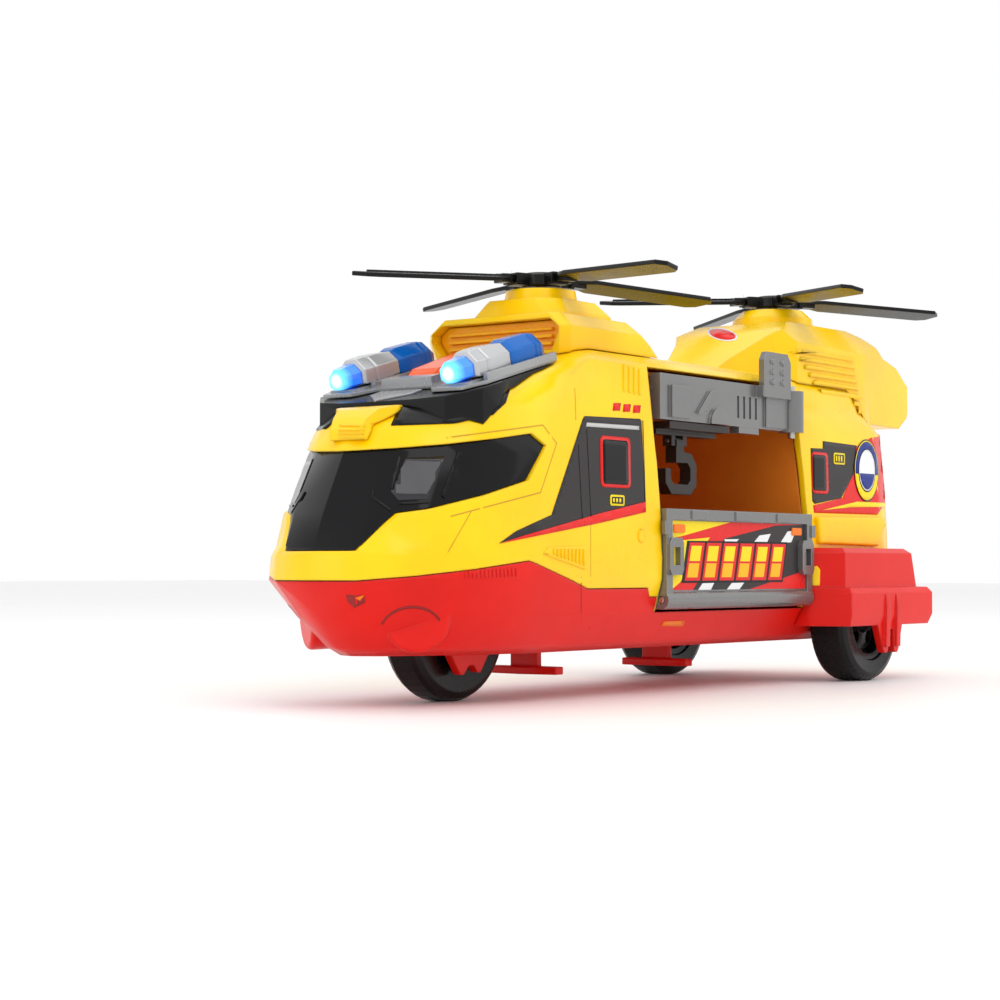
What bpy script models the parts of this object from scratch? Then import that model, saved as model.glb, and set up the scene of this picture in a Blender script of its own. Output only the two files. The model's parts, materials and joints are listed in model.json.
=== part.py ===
"""Toy rescue helicopter with two rotors, a side cargo bay and three wheels.

Forward is -Y, left is +X, up is +Z. The wheels stand on z = 0. Sizes below are
in millimetres and MM turns them into metres.
"""

import math

import bmesh
import bpy
from mathutils import Matrix, Vector

MM = 0.001
GAP = 0.3
WALL = 2.4

# Cargo bay and its doors
BAY_FRONT = -53.0
BAY_REAR = 56.5
DOOR_X = 44.5
DOOR_Z = 34.4
DOOR_TOP = 67.5
ARM_X = 42.0
ARM_Y = 48.5
ARM_LOW = 100.2
ARM_HIGH = 117.0

# Rotors
ROTOR_RADIUS = 79.0
BLADE_CHORD = 12.0
BLADE_THICK = 1.6
BLADE_DROOP = math.radians(2.6)
BLADE_PITCH = math.radians(-9.0)
FRONT_HUB = (0.0, -64.5, 149.0)
REAR_HUB = (0.0, 108.0, 157.6)
FRONT_TURN = math.radians(-19.7)
REAR_TURN = math.radians(-35.3)

# Wheels
WHEEL_R = 25.5
REAR_WHEEL_Y = 92.0
REAR_WHEEL_X = 47.0
REAR_WHEEL_W = 16.4
NOSE_WHEEL_R = 27.5
NOSE_WHEEL_Y = -122.0
NOSE_WHEEL_W = 13.6
AXLE_R = 1.9
BELLY_FEET = (-74.0, 14.5)

# Light bar, tilted with the cockpit roof
BAR_TILT = math.radians(14.5)
LAMP_X = 24.3
LAMP = (LAMP_X, -147.0, 111.0)

MODEL = "toy_helicopter"


# ---------------------------------------------------------------- helpers


def clear_scene():
    for obj in list(bpy.data.objects):
        bpy.data.objects.remove(obj, do_unlink=True)


def collection(name):
    found = bpy.data.collections.get(name)
    if found is None:
        found = bpy.data.collections.new(name)
        bpy.context.scene.collection.children.link(found)
    return found


def material(name, colour, roughness, metallic=0.0):
    found = bpy.data.materials.get(name)
    if found is not None:
        return found
    found = bpy.data.materials.new(name)
    found.use_nodes = True
    shader = found.node_tree.nodes["Principled BSDF"]
    shader.inputs["Base Color"].default_value = (*colour, 1.0)
    shader.inputs["Roughness"].default_value = roughness
    shader.inputs["Metallic"].default_value = metallic
    found.diffuse_color = (*colour, 1.0)
    return found


def yellow():
    return material("yellow_plastic", (0.95, 0.68, 0.02), 0.3)


def red():
    return material("red_plastic", (0.78, 0.03, 0.02), 0.32)


def black_gloss():
    return material("black_gloss_plastic", (0.02, 0.02, 0.022), 0.15)


def black():
    return material("black_plastic", (0.03, 0.03, 0.032), 0.4)


def grey():
    return material("grey_plastic", (0.3, 0.3, 0.31), 0.38)


def dark_grey():
    return material("dark_grey_plastic", (0.1, 0.1, 0.105), 0.42)


def silver():
    return material("silver_plastic", (0.55, 0.57, 0.6), 0.3, 0.3)


def blue_lens():
    return material("blue_lens", (0.01, 0.2, 0.75), 0.12)


def orange():
    return material("orange_plastic", (0.9, 0.13, 0.03), 0.3)


def steel():
    return material("steel", (0.6, 0.6, 0.6), 0.25, 1.0)


def make(name, mesh, mat, helper=False):
    """Links a new object for this mesh, as a part or as a hidden cutter."""
    obj = bpy.data.objects.new(name, mesh)
    if helper:
        collection("cutters").objects.link(obj)
        obj.hide_render = True
        obj.display_type = "WIRE"
    else:
        collection(MODEL).objects.link(obj)
        mesh.materials.append(mat)
    return obj


def from_bmesh(name, bm, mat=None, helper=False):
    bmesh.ops.recalc_face_normals(bm, faces=bm.faces)
    mesh = bpy.data.meshes.new(name)
    bm.to_mesh(mesh)
    bm.free()
    return make(name, mesh, mat, helper)


def box(name, low, high, mat=None, helper=False):
    """A box between two corners, in millimetres."""
    low = Vector(low)
    high = Vector(high)
    bm = bmesh.new()
    bmesh.ops.create_cube(bm, size=1.0)
    bmesh.ops.scale(bm, vec=(high - low) * MM, verts=bm.verts)
    bmesh.ops.translate(bm, vec=(high + low) * 0.5 * MM, verts=bm.verts)
    return from_bmesh(name, bm, mat, helper)


def rod(name, radius, start, end, mat=None, helper=False, segments=32, tip=None):
    """A cylinder or cone from one point to another, in millimetres."""
    start = Vector(start)
    end = Vector(end)
    span = end - start
    bm = bmesh.new()
    bmesh.ops.create_cone(
        bm,
        cap_ends=True,
        segments=segments,
        radius1=radius * MM,
        radius2=(radius if tip is None else tip) * MM,
        depth=span.length * MM,
    )
    turn = Vector((0, 0, 1)).rotation_difference(span.normalized()).to_matrix()
    bmesh.ops.rotate(bm, cent=(0, 0, 0), matrix=turn, verts=bm.verts)
    bmesh.ops.translate(bm, vec=(start + end) * 0.5 * MM, verts=bm.verts)
    return from_bmesh(name, bm, mat, helper)


def baked(obj):
    """Turns a curve or a modified mesh into a plain welded mesh object."""
    bpy.context.view_layer.update()
    graph = bpy.context.evaluated_depsgraph_get()
    mesh = bpy.data.meshes.new_from_object(obj.evaluated_get(graph))
    bm = bmesh.new()
    bm.from_mesh(mesh)
    bmesh.ops.remove_doubles(bm, verts=bm.verts, dist=1e-6)
    bmesh.ops.recalc_face_normals(bm, faces=bm.faces)
    bm.to_mesh(mesh)
    bm.free()
    return mesh


def flat(name, outline, axis, low, high, mat=None, helper=False):
    """A flat outline given thickness along X, Y or Z, in millimetres.

    The outline's two numbers are (y, z) along X, (x, z) along Y, (x, y) along Z.
    """
    curve = bpy.data.curves.new(name, "CURVE")
    curve.dimensions = "2D"
    curve.fill_mode = "BOTH"
    curve.extrude = (high - low) * 0.5 * MM
    spline = curve.splines.new("POLY")
    spline.points.add(len(outline) - 1)
    for point, (u, v) in zip(spline.points, outline):
        point.co = (u * MM, v * MM, 0.0, 1.0)
    spline.use_cyclic_u = True
    holder = bpy.data.objects.new(name + "_curve", curve)
    collection(MODEL).objects.link(holder)
    mesh = baked(holder)
    bpy.data.objects.remove(holder, do_unlink=True)
    bpy.data.curves.remove(curve)
    middle = (low + high) * 0.5 * MM
    if axis == "X":
        place = Matrix(((0, 0, 1, middle), (1, 0, 0, 0), (0, 1, 0, 0), (0, 0, 0, 1)))
    elif axis == "Y":
        place = Matrix(((1, 0, 0, 0), (0, 0, -1, middle), (0, 1, 0, 0), (0, 0, 0, 1)))
    else:
        place = Matrix.Translation((0, 0, middle))
    mesh.transform(place)
    mesh.name = name
    return make(name, mesh, mat, helper)


def turned(name, profile, origin, axis, mat=None, helper=False, steps=40):
    """A solid of revolution: the profile is (radius, height) from top to bottom."""
    mesh = bpy.data.meshes.new(name)
    verts = [(r * MM, 0.0, h * MM) for r, h in profile]
    edges = [(i, i + 1) for i in range(len(verts) - 1)]
    if profile[0][0] > 0.0:
        edges.append((len(verts) - 1, 0))
    mesh.from_pydata(verts, edges, [])
    holder = bpy.data.objects.new(name + "_profile", mesh)
    collection(MODEL).objects.link(holder)
    screw = holder.modifiers.new("Screw", "SCREW")
    screw.steps = steps
    screw.render_steps = steps
    screw.use_merge_vertices = True
    screw.merge_threshold = 0.00001
    result = baked(holder)
    bpy.data.objects.remove(holder, do_unlink=True)
    turn = Vector((0, 0, 1)).rotation_difference(Vector(axis)).to_matrix().to_4x4()
    result.transform(turn)
    obj = make(name, result, mat, helper)
    obj.location = Vector(origin) * MM
    return obj


def loft(name, sections, mat=None, helper=False):
    """Closed skin through rings with equal numbers of points, in millimetres."""
    bm = bmesh.new()
    rings = [[bm.verts.new(Vector(p) * MM) for p in ring] for ring in sections]
    count = len(rings[0])
    for lower, upper in zip(rings, rings[1:]):
        for i in range(count):
            j = (i + 1) % count
            bm.faces.new((lower[i], lower[j], upper[j], upper[i]))
    bm.faces.new(rings[0][::-1])
    bm.faces.new(rings[-1])
    bmesh.ops.triangulate(bm, faces=bm.faces)
    return from_bmesh(name, bm, mat, helper)


def boolean(obj, cutter, operation="DIFFERENCE"):
    step = obj.modifiers.new(operation.title() + "_" + cutter.name, "BOOLEAN")
    step.operation = operation
    step.solver = "EXACT"
    step.object = cutter
    return obj


def cut(obj, *cutters):
    for cutter in cutters:
        boolean(obj, cutter)
    return obj


def settle(obj):
    """Applies an object's modifiers and keeps its place and material."""
    mesh = baked(obj)
    old = obj.data
    obj.modifiers.clear()
    obj.data = mesh
    if not mesh.materials and old.materials:
        mesh.materials.append(old.materials[0])
    return obj


def join(name, pieces, mat):
    """One solid from overlapping pieces."""
    base = pieces[0]
    for piece in pieces[1:]:
        boolean(base, piece, "UNION")
    settle(base)
    for piece in pieces[1:]:
        bpy.data.objects.remove(piece, do_unlink=True)
    base.name = name
    base.data.name = name
    base.data.materials.clear()
    base.data.materials.append(mat)
    return base


def bevel(obj, width, segments=2, angle=35.0):
    step = obj.modifiers.new("Bevel", "BEVEL")
    step.width = width * MM
    step.segments = segments
    step.limit_method = "ANGLE"
    step.angle_limit = math.radians(angle)
    step.use_clamp_overlap = True
    return obj


def smooth(obj, angle=35.0):
    for face in obj.data.polygons:
        face.use_smooth = True
    obj.data.set_sharp_from_angle(angle=math.radians(angle))
    return obj


def mirrored(obj, name):
    """A copy of the part reflected in the X = 0 plane, as its own object."""
    mesh = obj.data.copy()
    mesh.transform(obj.matrix_basis)
    mesh.transform(Matrix.Scale(-1.0, 4, (1, 0, 0)))
    mesh.flip_normals()
    mesh.name = name
    twin = bpy.data.objects.new(name, mesh)
    collection(MODEL).objects.link(twin)
    return twin


def pivot(obj, point):
    """Moves the object's origin to a point on its joint axis."""
    bpy.context.view_layer.update()
    place = Vector(point) * MM
    offset = obj.matrix_basis.translation - place
    obj.data.transform(Matrix.Translation(offset))
    obj.location = place
    return obj


def ring_angles(count, start=0.0):
    return [start + 2.0 * math.pi * i / count for i in range(count)]


# ---------------------------------------------------------------- body skin

# Height, nose y, front corner, cheek, side start, side width, side y,
# rear half width, rear end.
LEVELS = (
    (17.0, -172.0, (8.0, -168.0), (15.0, -158.0), (24.0, -144.0), 32.0, -120.0, 33.0, 104.0),
    (20.0, -178.5, (9.0, -174.0), (18.0, -162.0), (28.0, -147.0), 36.0, -122.0, 37.0, 110.0),
    (30.0, -187.5, (12.5, -183.0), (25.0, -171.0), (36.0, -153.0), 42.0, -126.0, 42.5, 130.0),
    (42.0, -195.0, (17.0, -190.5), (31.5, -177.5), (41.0, -159.0), 45.3, -130.0, 45.3, 145.0),
    (50.0, -194.0, (17.0, -189.5), (31.5, -176.5), (41.0, -158.5), 45.5, -130.0, 45.5, 145.0),
    (53.0, -191.5, (16.5, -187.3), (31.0, -174.5), (40.7, -156.5), 45.2, -130.0, 45.2, 145.0),
    (64.0, -187.0, (16.5, -182.8), (30.5, -171.5), (40.3, -154.5), 44.9, -129.0, 44.9, 145.0),
    (84.0, -177.0, (17.0, -171.5), (30.5, -161.0), (39.0, -147.0), 43.5, -122.0, 43.5, 145.0),
    (92.0, -172.5, (16.0, -168.5), (30.0, -156.5), (38.5, -143.0), 42.6, -118.0, 42.6, 145.0),
    (98.5, -164.0, (14.0, -161.5), (30.0, -149.5), (37.8, -138.0), 42.0, -113.0, 42.0, 145.0),
    (103.0, -148.0, (16.0, -147.5), (30.0, -143.0), (37.2, -133.0), 41.6, -109.0, 41.6, 145.0),
    (112.0, -120.0, (16.0, -119.6), (28.0, -118.5), (35.8, -115.0), 40.8, -103.0, 33.0, 145.0),
    (119.0, -98.0, (16.0, -97.8), (27.0, -97.0), (34.0, -96.0), 40.0, -92.0, 31.0, 144.0),
    (122.5, -90.0, (14.0, -89.8), (24.0, -89.0), (30.0, -87.0), 36.0, -82.0, 29.0, 143.0),
    (124.5, -84.0, (12.0, -83.5), (20.0, -82.5), (24.0, -80.0), 27.0, -76.0, 25.0, 140.0),
)


def outline_at(level, inset=0.0):
    """Half of the body's plan at one height, then mirrored into a full ring."""
    z, nose, corner, cheek, start, width, side_y, rear, tail = level
    half = [
        (0.0, nose + inset),
        (corner[0] - 0.3 * inset, corner[1] + inset),
        (cheek[0] - 0.8 * inset, cheek[1] + 0.7 * inset),
        (start[0] - 0.95 * inset, start[1] + 0.3 * inset),
        (width - inset, side_y),
        (width - inset, 57.5 - inset),
        (rear - inset, 64.0),
        (rear - inset, min(120.0, tail - 25.0)),
        (rear - 3.5 - inset, tail - 12.0),
        (rear - 10.0 - 0.7 * inset, tail - 4.0 - 0.7 * inset),
        (rear - 19.0, tail - inset),
        (0.0, tail - inset),
    ]
    other = [(-x, y) for x, y in half[-2:0:-1]]
    return [(x, y, z) for x, y in half + other]


def body_loft(name, inset):
    levels = list(LEVELS)
    sections = []
    for i, level in enumerate(levels):
        ring = outline_at(level, inset)
        lift = 0.0
        if i == 0:
            lift = inset
        elif i == 1:
            lift = 0.9 * inset
        elif i >= len(levels) - 6:
            lift = -inset
        sections.append([(x, y, z + lift) for x, y, z in ring])
    return loft(name, sections, helper=True)


def seam_line(shift=0.0):
    """Where the yellow upper body meets the red hull, as (y, z) points."""
    points = [
        (-215.0, 42.0),
        (-190.0, 42.0),
        (-134.0, 48.5),
        (-99.0, 39.0),
        (-61.0, 39.0),
        (-58.5, 35.8),
        (BAY_FRONT - 0.5, 35.8),
        (BAY_FRONT - 0.5, 30.4),
        (BAY_REAR + 0.5, 30.4),
        (BAY_REAR + 0.5, 38.5),
        (65.5, 38.5),
        (65.5, 50.0),
        (160.0, 50.0),
    ]
    return [(y, z + shift) for y, z in points]


def glass_outline(grow=0.0):
    """Side view of the wrap-round cockpit glass, as (y, z) points."""
    return [
        (-210.0, 84.0 + grow),
        (-176.0, 84.0 + grow),
        (-160.0, 86.0 + grow),
        (-127.5 + 0.4 * grow, 90.8 + grow),
        (-121.8 + grow, 87.2),
        (-132.0 + 0.6 * grow, 75.3 - grow),
        (-168.0, 65.6 - grow),
        (-176.6 + 0.3 * grow, 63.8 - grow),
        (-187.6 + 0.3 * grow, 51.7 - grow),
        (-210.0, 51.7 - grow),
    ]


def bay_opening():
    return [
        (BAY_FRONT, 25.0),
        (BAY_FRONT, 70.0),
        (BAY_FRONT - 1.5, 118.8),
        (23.0, 118.8),
        (34.0, 118.0),
        (52.6, 118.0),
        (55.2, 116.4),
        (55.2, 99.0),
        (BAY_REAR, 69.0),
        (BAY_REAR, 25.0),
    ]


def make_body():
    """Yellow shell, red hull tray and cockpit glass share one outer skin."""
    inner = body_loft("skin_inner", WALL)
    below = [(160.0, -10.0), (-215.0, -10.0)]
    above = [(160.0, 140.0), (-215.0, 140.0)]
    lower = flat("hull_region", seam_line(0.0) + below, "X", -90, 90, helper=True)
    upper = flat("shell_region", seam_line(-GAP) + above, "X", -90, 90, helper=True)
    pane = flat("glass_region", glass_outline(), "X", -90, 90, helper=True)
    hole = flat("glass_hole", glass_outline(GAP), "X", -90, 90, helper=True)
    side = flat("bay_hole", bay_opening(), "X", 30.0, 60.0, helper=True)

    shell = body_loft("body_shell", 0.0)
    cut(shell, inner, lower, hole, side)
    front_shaft = rod("front_shaft_hole", 3.3, (0, FRONT_HUB[1], 110), (0, FRONT_HUB[1], 140), helper=True)
    rear_shaft = rod("rear_shaft_hole", 3.3, (0, REAR_HUB[1], 110), (0, REAR_HUB[1], 140), helper=True)
    wells = []
    for low, high in ((-60.0, -38.0), (38.0, 60.0)):
        y = REAR_WHEEL_Y
        wells.append(box("rear_well", (low, y - 27.0, -5), (high, y + 27.0, 52.2), helper=True))
    button_hole = box("button_hole", (-7.2, -136.5, 85), (7.2, -104.0, 125), helper=True)
    cut(shell, front_shaft, rear_shaft, button_hole, *wells)
    finish_body(shell, "body_shell", yellow())

    hull = body_loft("hull", 0.0)
    cut(hull, inner, upper, *wells)
    nose_well = box(
        "nose_well",
        (-11.8, NOSE_WHEEL_Y - 31.4, -5),
        (11.8, NOSE_WHEEL_Y + 31.4, 60),
        helper=True,
    )
    cheeks = []
    for sign in (-1, 1):
        cheek = rod(
            "cheek_boss",
            10.9,
            (sign * 24.0, -167.6, 29.2),
            (sign * 9.0, -147.6, 30.6),
            helper=True,
            segments=36,
        )
        bevel(cheek, 1.6, 3)
        settle(cheek)
        cheeks.append(cheek)
    for cheek in cheeks:
        boolean(hull, cheek, "UNION")
    battery = box("battery_hole", (-24.3, 22.7, 0), (24.3, 75.3, 25), helper=True)
    feet = []
    for y in BELLY_FEET:
        feet.append(box("foot_slot", (-6.3, y - 1.8, 0), (6.3, y + 1.8, 25), helper=True))
    axle_low = (-60, REAR_WHEEL_Y, WHEEL_R)
    axle_high = (60, REAR_WHEEL_Y, WHEEL_R)
    tunnel = rod("axle_tunnel", AXLE_R + GAP, axle_low, axle_high, helper=True)
    cut(hull, nose_well, battery, tunnel, *feet)
    finish_body(hull, "hull", red())

    glass = body_loft("windscreen", 1.0)
    boolean(glass, inner)
    boolean(glass, pane, "INTERSECT")
    finish_body(glass, "windscreen", black_gloss())
    return shell, hull, glass


def finish_body(obj, name, mat):
    settle(obj)
    collection("cutters").objects.unlink(obj)
    collection(MODEL).objects.link(obj)
    obj.hide_render = False
    obj.display_type = "TEXTURED"
    obj.data.materials.clear()
    obj.data.materials.append(mat)
    obj.data.name = name
    return obj


def make_bay_liner():
    """Inner tub of the cargo bay: floor, back wall, ceiling and two ends."""
    section = [
        (-37.0, 31.0),
        (42.4, 31.0),
        (42.0, 68.0),
        (36.0, 117.8),
        (-31.0, 117.8),
        (-37.0, 75.0),
    ]
    hollow = [
        (-35.0, 33.2),
        (60.0, 33.2),
        (60.0, 116.0),
        (-29.6, 116.0),
        (-35.0, 75.0),
    ]
    liner = flat("bay_liner", section, "Y", BAY_FRONT - 3.2, BAY_REAR + 1.8, yellow())
    space = flat("bay_space", hollow, "Y", BAY_FRONT - 1.2, BAY_REAR - 0.2, helper=True)
    pin = rod("liner_pin_slot", 2.1, (ARM_X, ARM_Y, 90), (ARM_X, ARM_Y, 130), helper=True)
    cut(liner, space, pin)
    boolean(liner, body_loft("bay_limit", WALL + GAP), "INTERSECT")
    return settle(liner)


def make_crest():
    """Yellow crest on the brow: a saddle whose two lobes lean on the light bar."""
    base = flat(
        "nose_crest",
        [(-6.5, -175.4), (6.5, -175.4), (9.2, -168.4), (13.2, -164.6), (13.2, -160.4), (6.8, -160.4),
         (0.0, -162.4), (-6.8, -160.4), (-13.2, -160.4), (-13.2, -164.6), (-9.2, -168.4)],
        "Z", 88.0, 104.0, yellow(),
    )
    side = flat(
        "crest_side",
        [(-176.0, 90.6), (-172.4, 95.4), (-168.4, 98.4), (-164.0, 99.7), (-156.0, 100.2), (-156.0, 80.0),
         (-176.0, 80.0)],
        "X", -20, 20, helper=True,
    )
    front = flat(
        "crest_front",
        [(-8.6, 84.0), (-7.8, 93.2), (-12.6, 96.6), (-13.6, 98.0), (-12.4, 99.4), (-10.0, 102.0),
         (-2.4, 102.0), (0.0, 98.2), (2.4, 102.0), (10.0, 102.0), (12.4, 99.4), (13.6, 98.0),
         (12.6, 96.6), (7.8, 93.2), (8.6, 84.0)],
        "Y", -190, -150, helper=True,
    )
    boolean(base, side, "INTERSECT")
    boolean(base, front, "INTERSECT")
    skin = body_loft("crest_under", -0.35)
    cut(base, skin)
    return settle(base)


# ---------------------------------------------------------------- pylons


def make_front_pylon():
    """Intake housing with the front rotor turret on top of it."""
    fy = FRONT_HUB[1]
    top = 120.0
    low_ring = pylon_ring(29.5, -91.5, -22.0, 3.0, top)
    rings = [
        low_ring,
        pylon_ring(31.5, -93.5, -36.0, 3.0, 128.0),
        pylon_ring(31.5, -93.5, -42.0, 3.0, 131.5),
        pylon_ring(26.0, -92.5, -44.0, 3.0, 136.4),
    ]
    body = loft("front_pylon", rings, yellow())
    upper = loft(
        "front_upper",
        [
            pylon_ring(21.5, -85.0, -40.0, 5.0, 130.0),
            pylon_ring(20.5, -84.0, -43.0, 6.0, 138.5),
            pylon_ring(17.0, -82.5, -47.0, 7.0, 143.5),
        ],
        yellow(),
    )
    turret = rod("front_turret", 15.5, (0, fy, 135.0), (0, fy, 148.0), yellow(), tip=12.8)
    body = join("front_pylon", [body, upper, turret], yellow())
    mouth = flat(
        "intake_mouth",
        [(-24.5, 123.0), (24.5, 123.0), (28.3, 128.6), (28.3, 131.0), (24.2, 134.2),
         (-24.2, 134.2), (-28.3, 131.0), (-28.3, 128.6)],
        "Y", -100.0, -86.0, helper=True,
    )
    bore = rod("front_bore", 3.3, (0, fy, 100), (0, fy, 160), helper=True, segments=24)
    skin = body_loft("front_under", -GAP)
    cut(body, mouth, skin, bore)
    return settle(body)


def pylon_ring(half, front, rear, chamfer, z):
    """An eight-sided plan ring with cut corners."""
    c = chamfer
    half_ring = [
        (half - c, front),
        (half, front + c),
        (half, rear - c),
        (half - c, rear),
    ]
    other = [(-x, y) for x, y in half_ring[::-1]]
    return [(x, y, z) for x, y in half_ring + other]


def make_grille():
    """Louvred intake insert in the mouth of the front pylon."""
    plate = flat(
        "intake_grille",
        [(-24.1, 123.35), (24.1, 123.35), (27.9, 128.7), (27.9, 130.9), (24.0, 133.85),
         (-24.0, 133.85), (-27.9, 130.9), (-27.9, 128.7)],
        "Y", -88.4, -86.35, material("amber_plastic", (0.95, 0.5, 0.03), 0.35),
    )
    bars = [plate]
    for z in (125.6, 128.2, 130.8):
        bars.append(box("bar", (-23.0, -90.2, z - 0.5), (23.0, -88.0, z + 0.5)))
    grille = join("intake_grille", bars, material("amber_plastic", (0.95, 0.5, 0.03), 0.35))
    skin = body_loft("grille_under", -GAP)
    cut(grille, skin)
    return settle(grille)


def make_rear_pylon():
    """Tail fairing that carries the rear rotor and hangs over the tail."""
    ry = REAR_HUB[1]
    # Side view: front slope, flat top, long tail block.
    spine = [
        (26.0, 118.0),
        (40.0, 127.5),
        (70.0, 144.0),
        (82.0, 149.0),
        (136.0, 149.5),
        (146.0, 147.0),
        (162.0, 139.0),
        (178.0, 136.0),
        (193.0, 128.0),
        (195.0, 125.0),
        (191.0, 114.5),
        (181.0, 109.0),
        (146.5, 109.0),
        (140.0, 103.0),
        (140.0, 110.0),
        (60.0, 110.0),
        (60.0, 118.0),
    ]
    block = flat("rear_pylon", spine, "X", -33.0, 33.0, yellow())
    trim = rear_plan_trim()
    for piece in trim:
        boolean(block, piece, "INTERSECT")
    settle(block)
    turret = rod("rear_turret", 18.0, (0, ry, 146.0), (0, ry, 153.0), yellow(), tip=17.0)
    cap = rod("rear_cap", 17.0, (0, ry, 152.8), (0, ry, 156.6), yellow(), tip=13.0)
    ribs = [block, turret, cap]
    for i in range(8):
        z = 114.2 + 3.05 * i
        wide = 30.9 - 0.1 * i
        start = max(78.0, 99.8 - 3.6 * i)
        ribs.append(box("rib", (-wide, start, z - 0.75), (wide, 131.0 - 0.8 * i, z + 0.75)))
    block = join("rear_pylon", ribs, yellow())
    bore = rod("rear_bore", 3.3, (0, ry, 100), (0, ry, 165), helper=True, segments=24)
    hollow = loft(
        "rear_hollow",
        [
            pylon_ring(24.0, 66.0, 138.0, 4.0, 90.0),
            pylon_ring(24.0, 66.0, 138.0, 4.0, 128.0),
            pylon_ring(12.0, 84.0, 128.0, 4.0, 141.0),
        ],
        helper=True,
    )
    skin = body_loft("rear_under", -GAP)
    cut(block, hollow, skin, bore)
    return settle(block)


def rear_plan_trim():
    """Plan and front view outlines that shape the tail fairing."""
    plan = flat(
        "rear_plan",
        [(-11.0, 22.0), (11.0, 22.0), (15.0, 46.0), (22.0, 66.0), (29.6, 76.0),
         (30.0, 136.0), (27.0, 146.0), (22.5, 192.0), (18.0, 198.0), (-18.0, 198.0),
         (-22.5, 192.0), (-27.0, 146.0), (-30.0, 136.0), (-29.6, 76.0), (-22.0, 66.0),
         (-15.0, 46.0)],
        "Z", 90.0, 170.0, helper=True,
    )
    front = flat(
        "rear_front_view",
        [(-31.0, 100.0), (31.0, 100.0), (30.0, 139.0), (24.0, 146.0), (18.0, 152.0),
         (-18.0, 152.0), (-24.0, 146.0), (-30.0, 139.0)],
        "Y", 0.0, 210.0, helper=True,
    )
    return plan, front


# ---------------------------------------------------------------- light bar


def tilt(obj):
    """Turns a piece modelled flat round the lamp line onto the roof slope."""
    place = Matrix.Translation(Vector((0, LAMP[1], LAMP[2])) * MM)
    obj.data.transform(place @ Matrix.Rotation(BAR_TILT, 4, "X"))
    return obj


def make_light_base():
    """Black tray that lies on the cockpit roof."""
    plan = [
        (-15.0, -160.0), (15.0, -160.0), (27.0, -157.0), (35.5, -147.0), (36.5, -139.0),
        (34.0, -131.0), (33.5, -99.0), (-33.5, -99.0), (-34.0, -131.0), (-36.5, -139.0),
        (-35.5, -147.0), (-27.0, -157.0),
    ]
    base = flat("light_base", plan, "Z", 92.0, 124.0, black_gloss())
    profile = [
        (-170.0, 90.0), (-170.0, 100.6), (-160.0, 101.6), (-147.0, 105.4), (-98.0, 118.1),
        (-90.0, 118.1), (-90.0, 90.0),
    ]
    side = flat("light_base_side", profile, "X", -60, 60, helper=True)
    boolean(base, side, "INTERSECT")
    skin = body_loft("base_under", -GAP)
    slot = box("base_button_slot", (-7.2, -136.5, 80), (7.2, -104.0, 130), helper=True)
    cut(base, skin, slot)
    return settle(base)


def make_light_tray():
    """Grey tray on the base with a raised saddle under each pod."""
    pieces = []
    slab = flat(
        "light_tray",
        [(-30.0, -6.0), (-17.5, -6.0), (-12.0, 2.0), (12.0, 2.0), (17.5, -6.0),
         (30.0, -6.0), (33.5, 4.0), (32.0, 47.5), (-32.0, 47.5), (-33.5, 4.0)],
        "Z", -5.2, -3.9,
    )
    pieces.append(slab)
    for sign in (-1, 1):
        x = sign * LAMP_X
        pieces.append(box("saddle", (x - 5.6, -2.0, -4.4), (x + 5.6, 48.0, -3.3)))
        for near, far, end, top in ((7.1, 8.9, 46.0, -1.6), (-8.9, -7.1, 30.0, -2.2)):
            low, high = sorted((x + sign * near, x + sign * far))
            pieces.append(box("rail", (low, 5.0, -4.4), (high, end, top)))
    pieces.append(box("bridge", (-11.0, 3.0, -4.4), (11.0, 8.5, -1.2)))
    tray = join("light_tray", pieces, silver())
    slot = box("tray_slot", (-7.2, 9.5, -20), (7.2, 60.0, 20), helper=True)
    cut(tray, slot)
    settle(tray)
    tilt(tray)
    lift = bpy.data.objects["light_base"].data.copy()
    lift.transform(Matrix.Translation((0, 0, GAP * MM)))
    cutter = make("tray_under", lift, None, helper=True)
    boolean(tray, cutter)
    boolean(tray, body_loft("tray_skin", -GAP))
    return settle(tray)


def bar_piece(name, plan, section, mat, sign):
    """A piece of the pod: a section swept along the bar, cut to a side view."""
    piece = flat(name, section, "Y", plan[0], plan[1], mat)
    piece.data.transform(Matrix.Translation((sign * LAMP_X * MM, 0, 0)))
    return piece


def pod_section(radius, under):
    """Section of a pod: a many-sided round with a flat underside."""
    points = []
    start = math.asin(under / radius)
    for i in range(11):
        angle = start + (math.pi - 2.0 * start) * i / 10.0
        points.append((radius * math.cos(angle), radius * math.sin(angle)))
    return points


def make_pods():
    """Per side: front lens, grey housing and blue dome, in line."""
    for sign, side in ((1, "left"), (-1, "right")):
        lens = bar_piece("lamp_lens_" + side, (-5.2, 3.4), pod_section(5.0, -2.9), blue_lens(), sign)
        bevel(lens, 1.0, 2, 60)
        settle(lens)
        housing = bar_piece("lamp_pod_" + side, (3.8, 23.6), pod_section(5.9, -3.0), silver(), sign)
        band = bar_piece("band", (9.0, 15.5), pod_section(6.7, -3.0), silver(), sign)
        housing = join("lamp_pod_" + side, [housing, band], silver())
        dome = bar_piece("beacon_" + side, (24.0, 46.5), pod_section(6.4, -3.0), blue_lens(), sign)
        bevel(dome, 1.8, 3, 60)
        settle(dome)
        for piece in (lens, housing, dome):
            tilt(piece)


def make_button():
    """Sound and light button: an orange wedge that slides down its slot."""
    wedge = flat(
        "siren_button",
        [(-136.0, 98.0), (-136.0, 111.2), (-133.0, 114.6), (-108.0, 122.6), (-104.5, 121.0), (-104.5, 108.0)],
        "X", -6.8, 6.8, orange(),
    )
    bevel(wedge, 0.7, 2)
    return settle(wedge)


# ---------------------------------------------------------------- rotors


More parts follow.
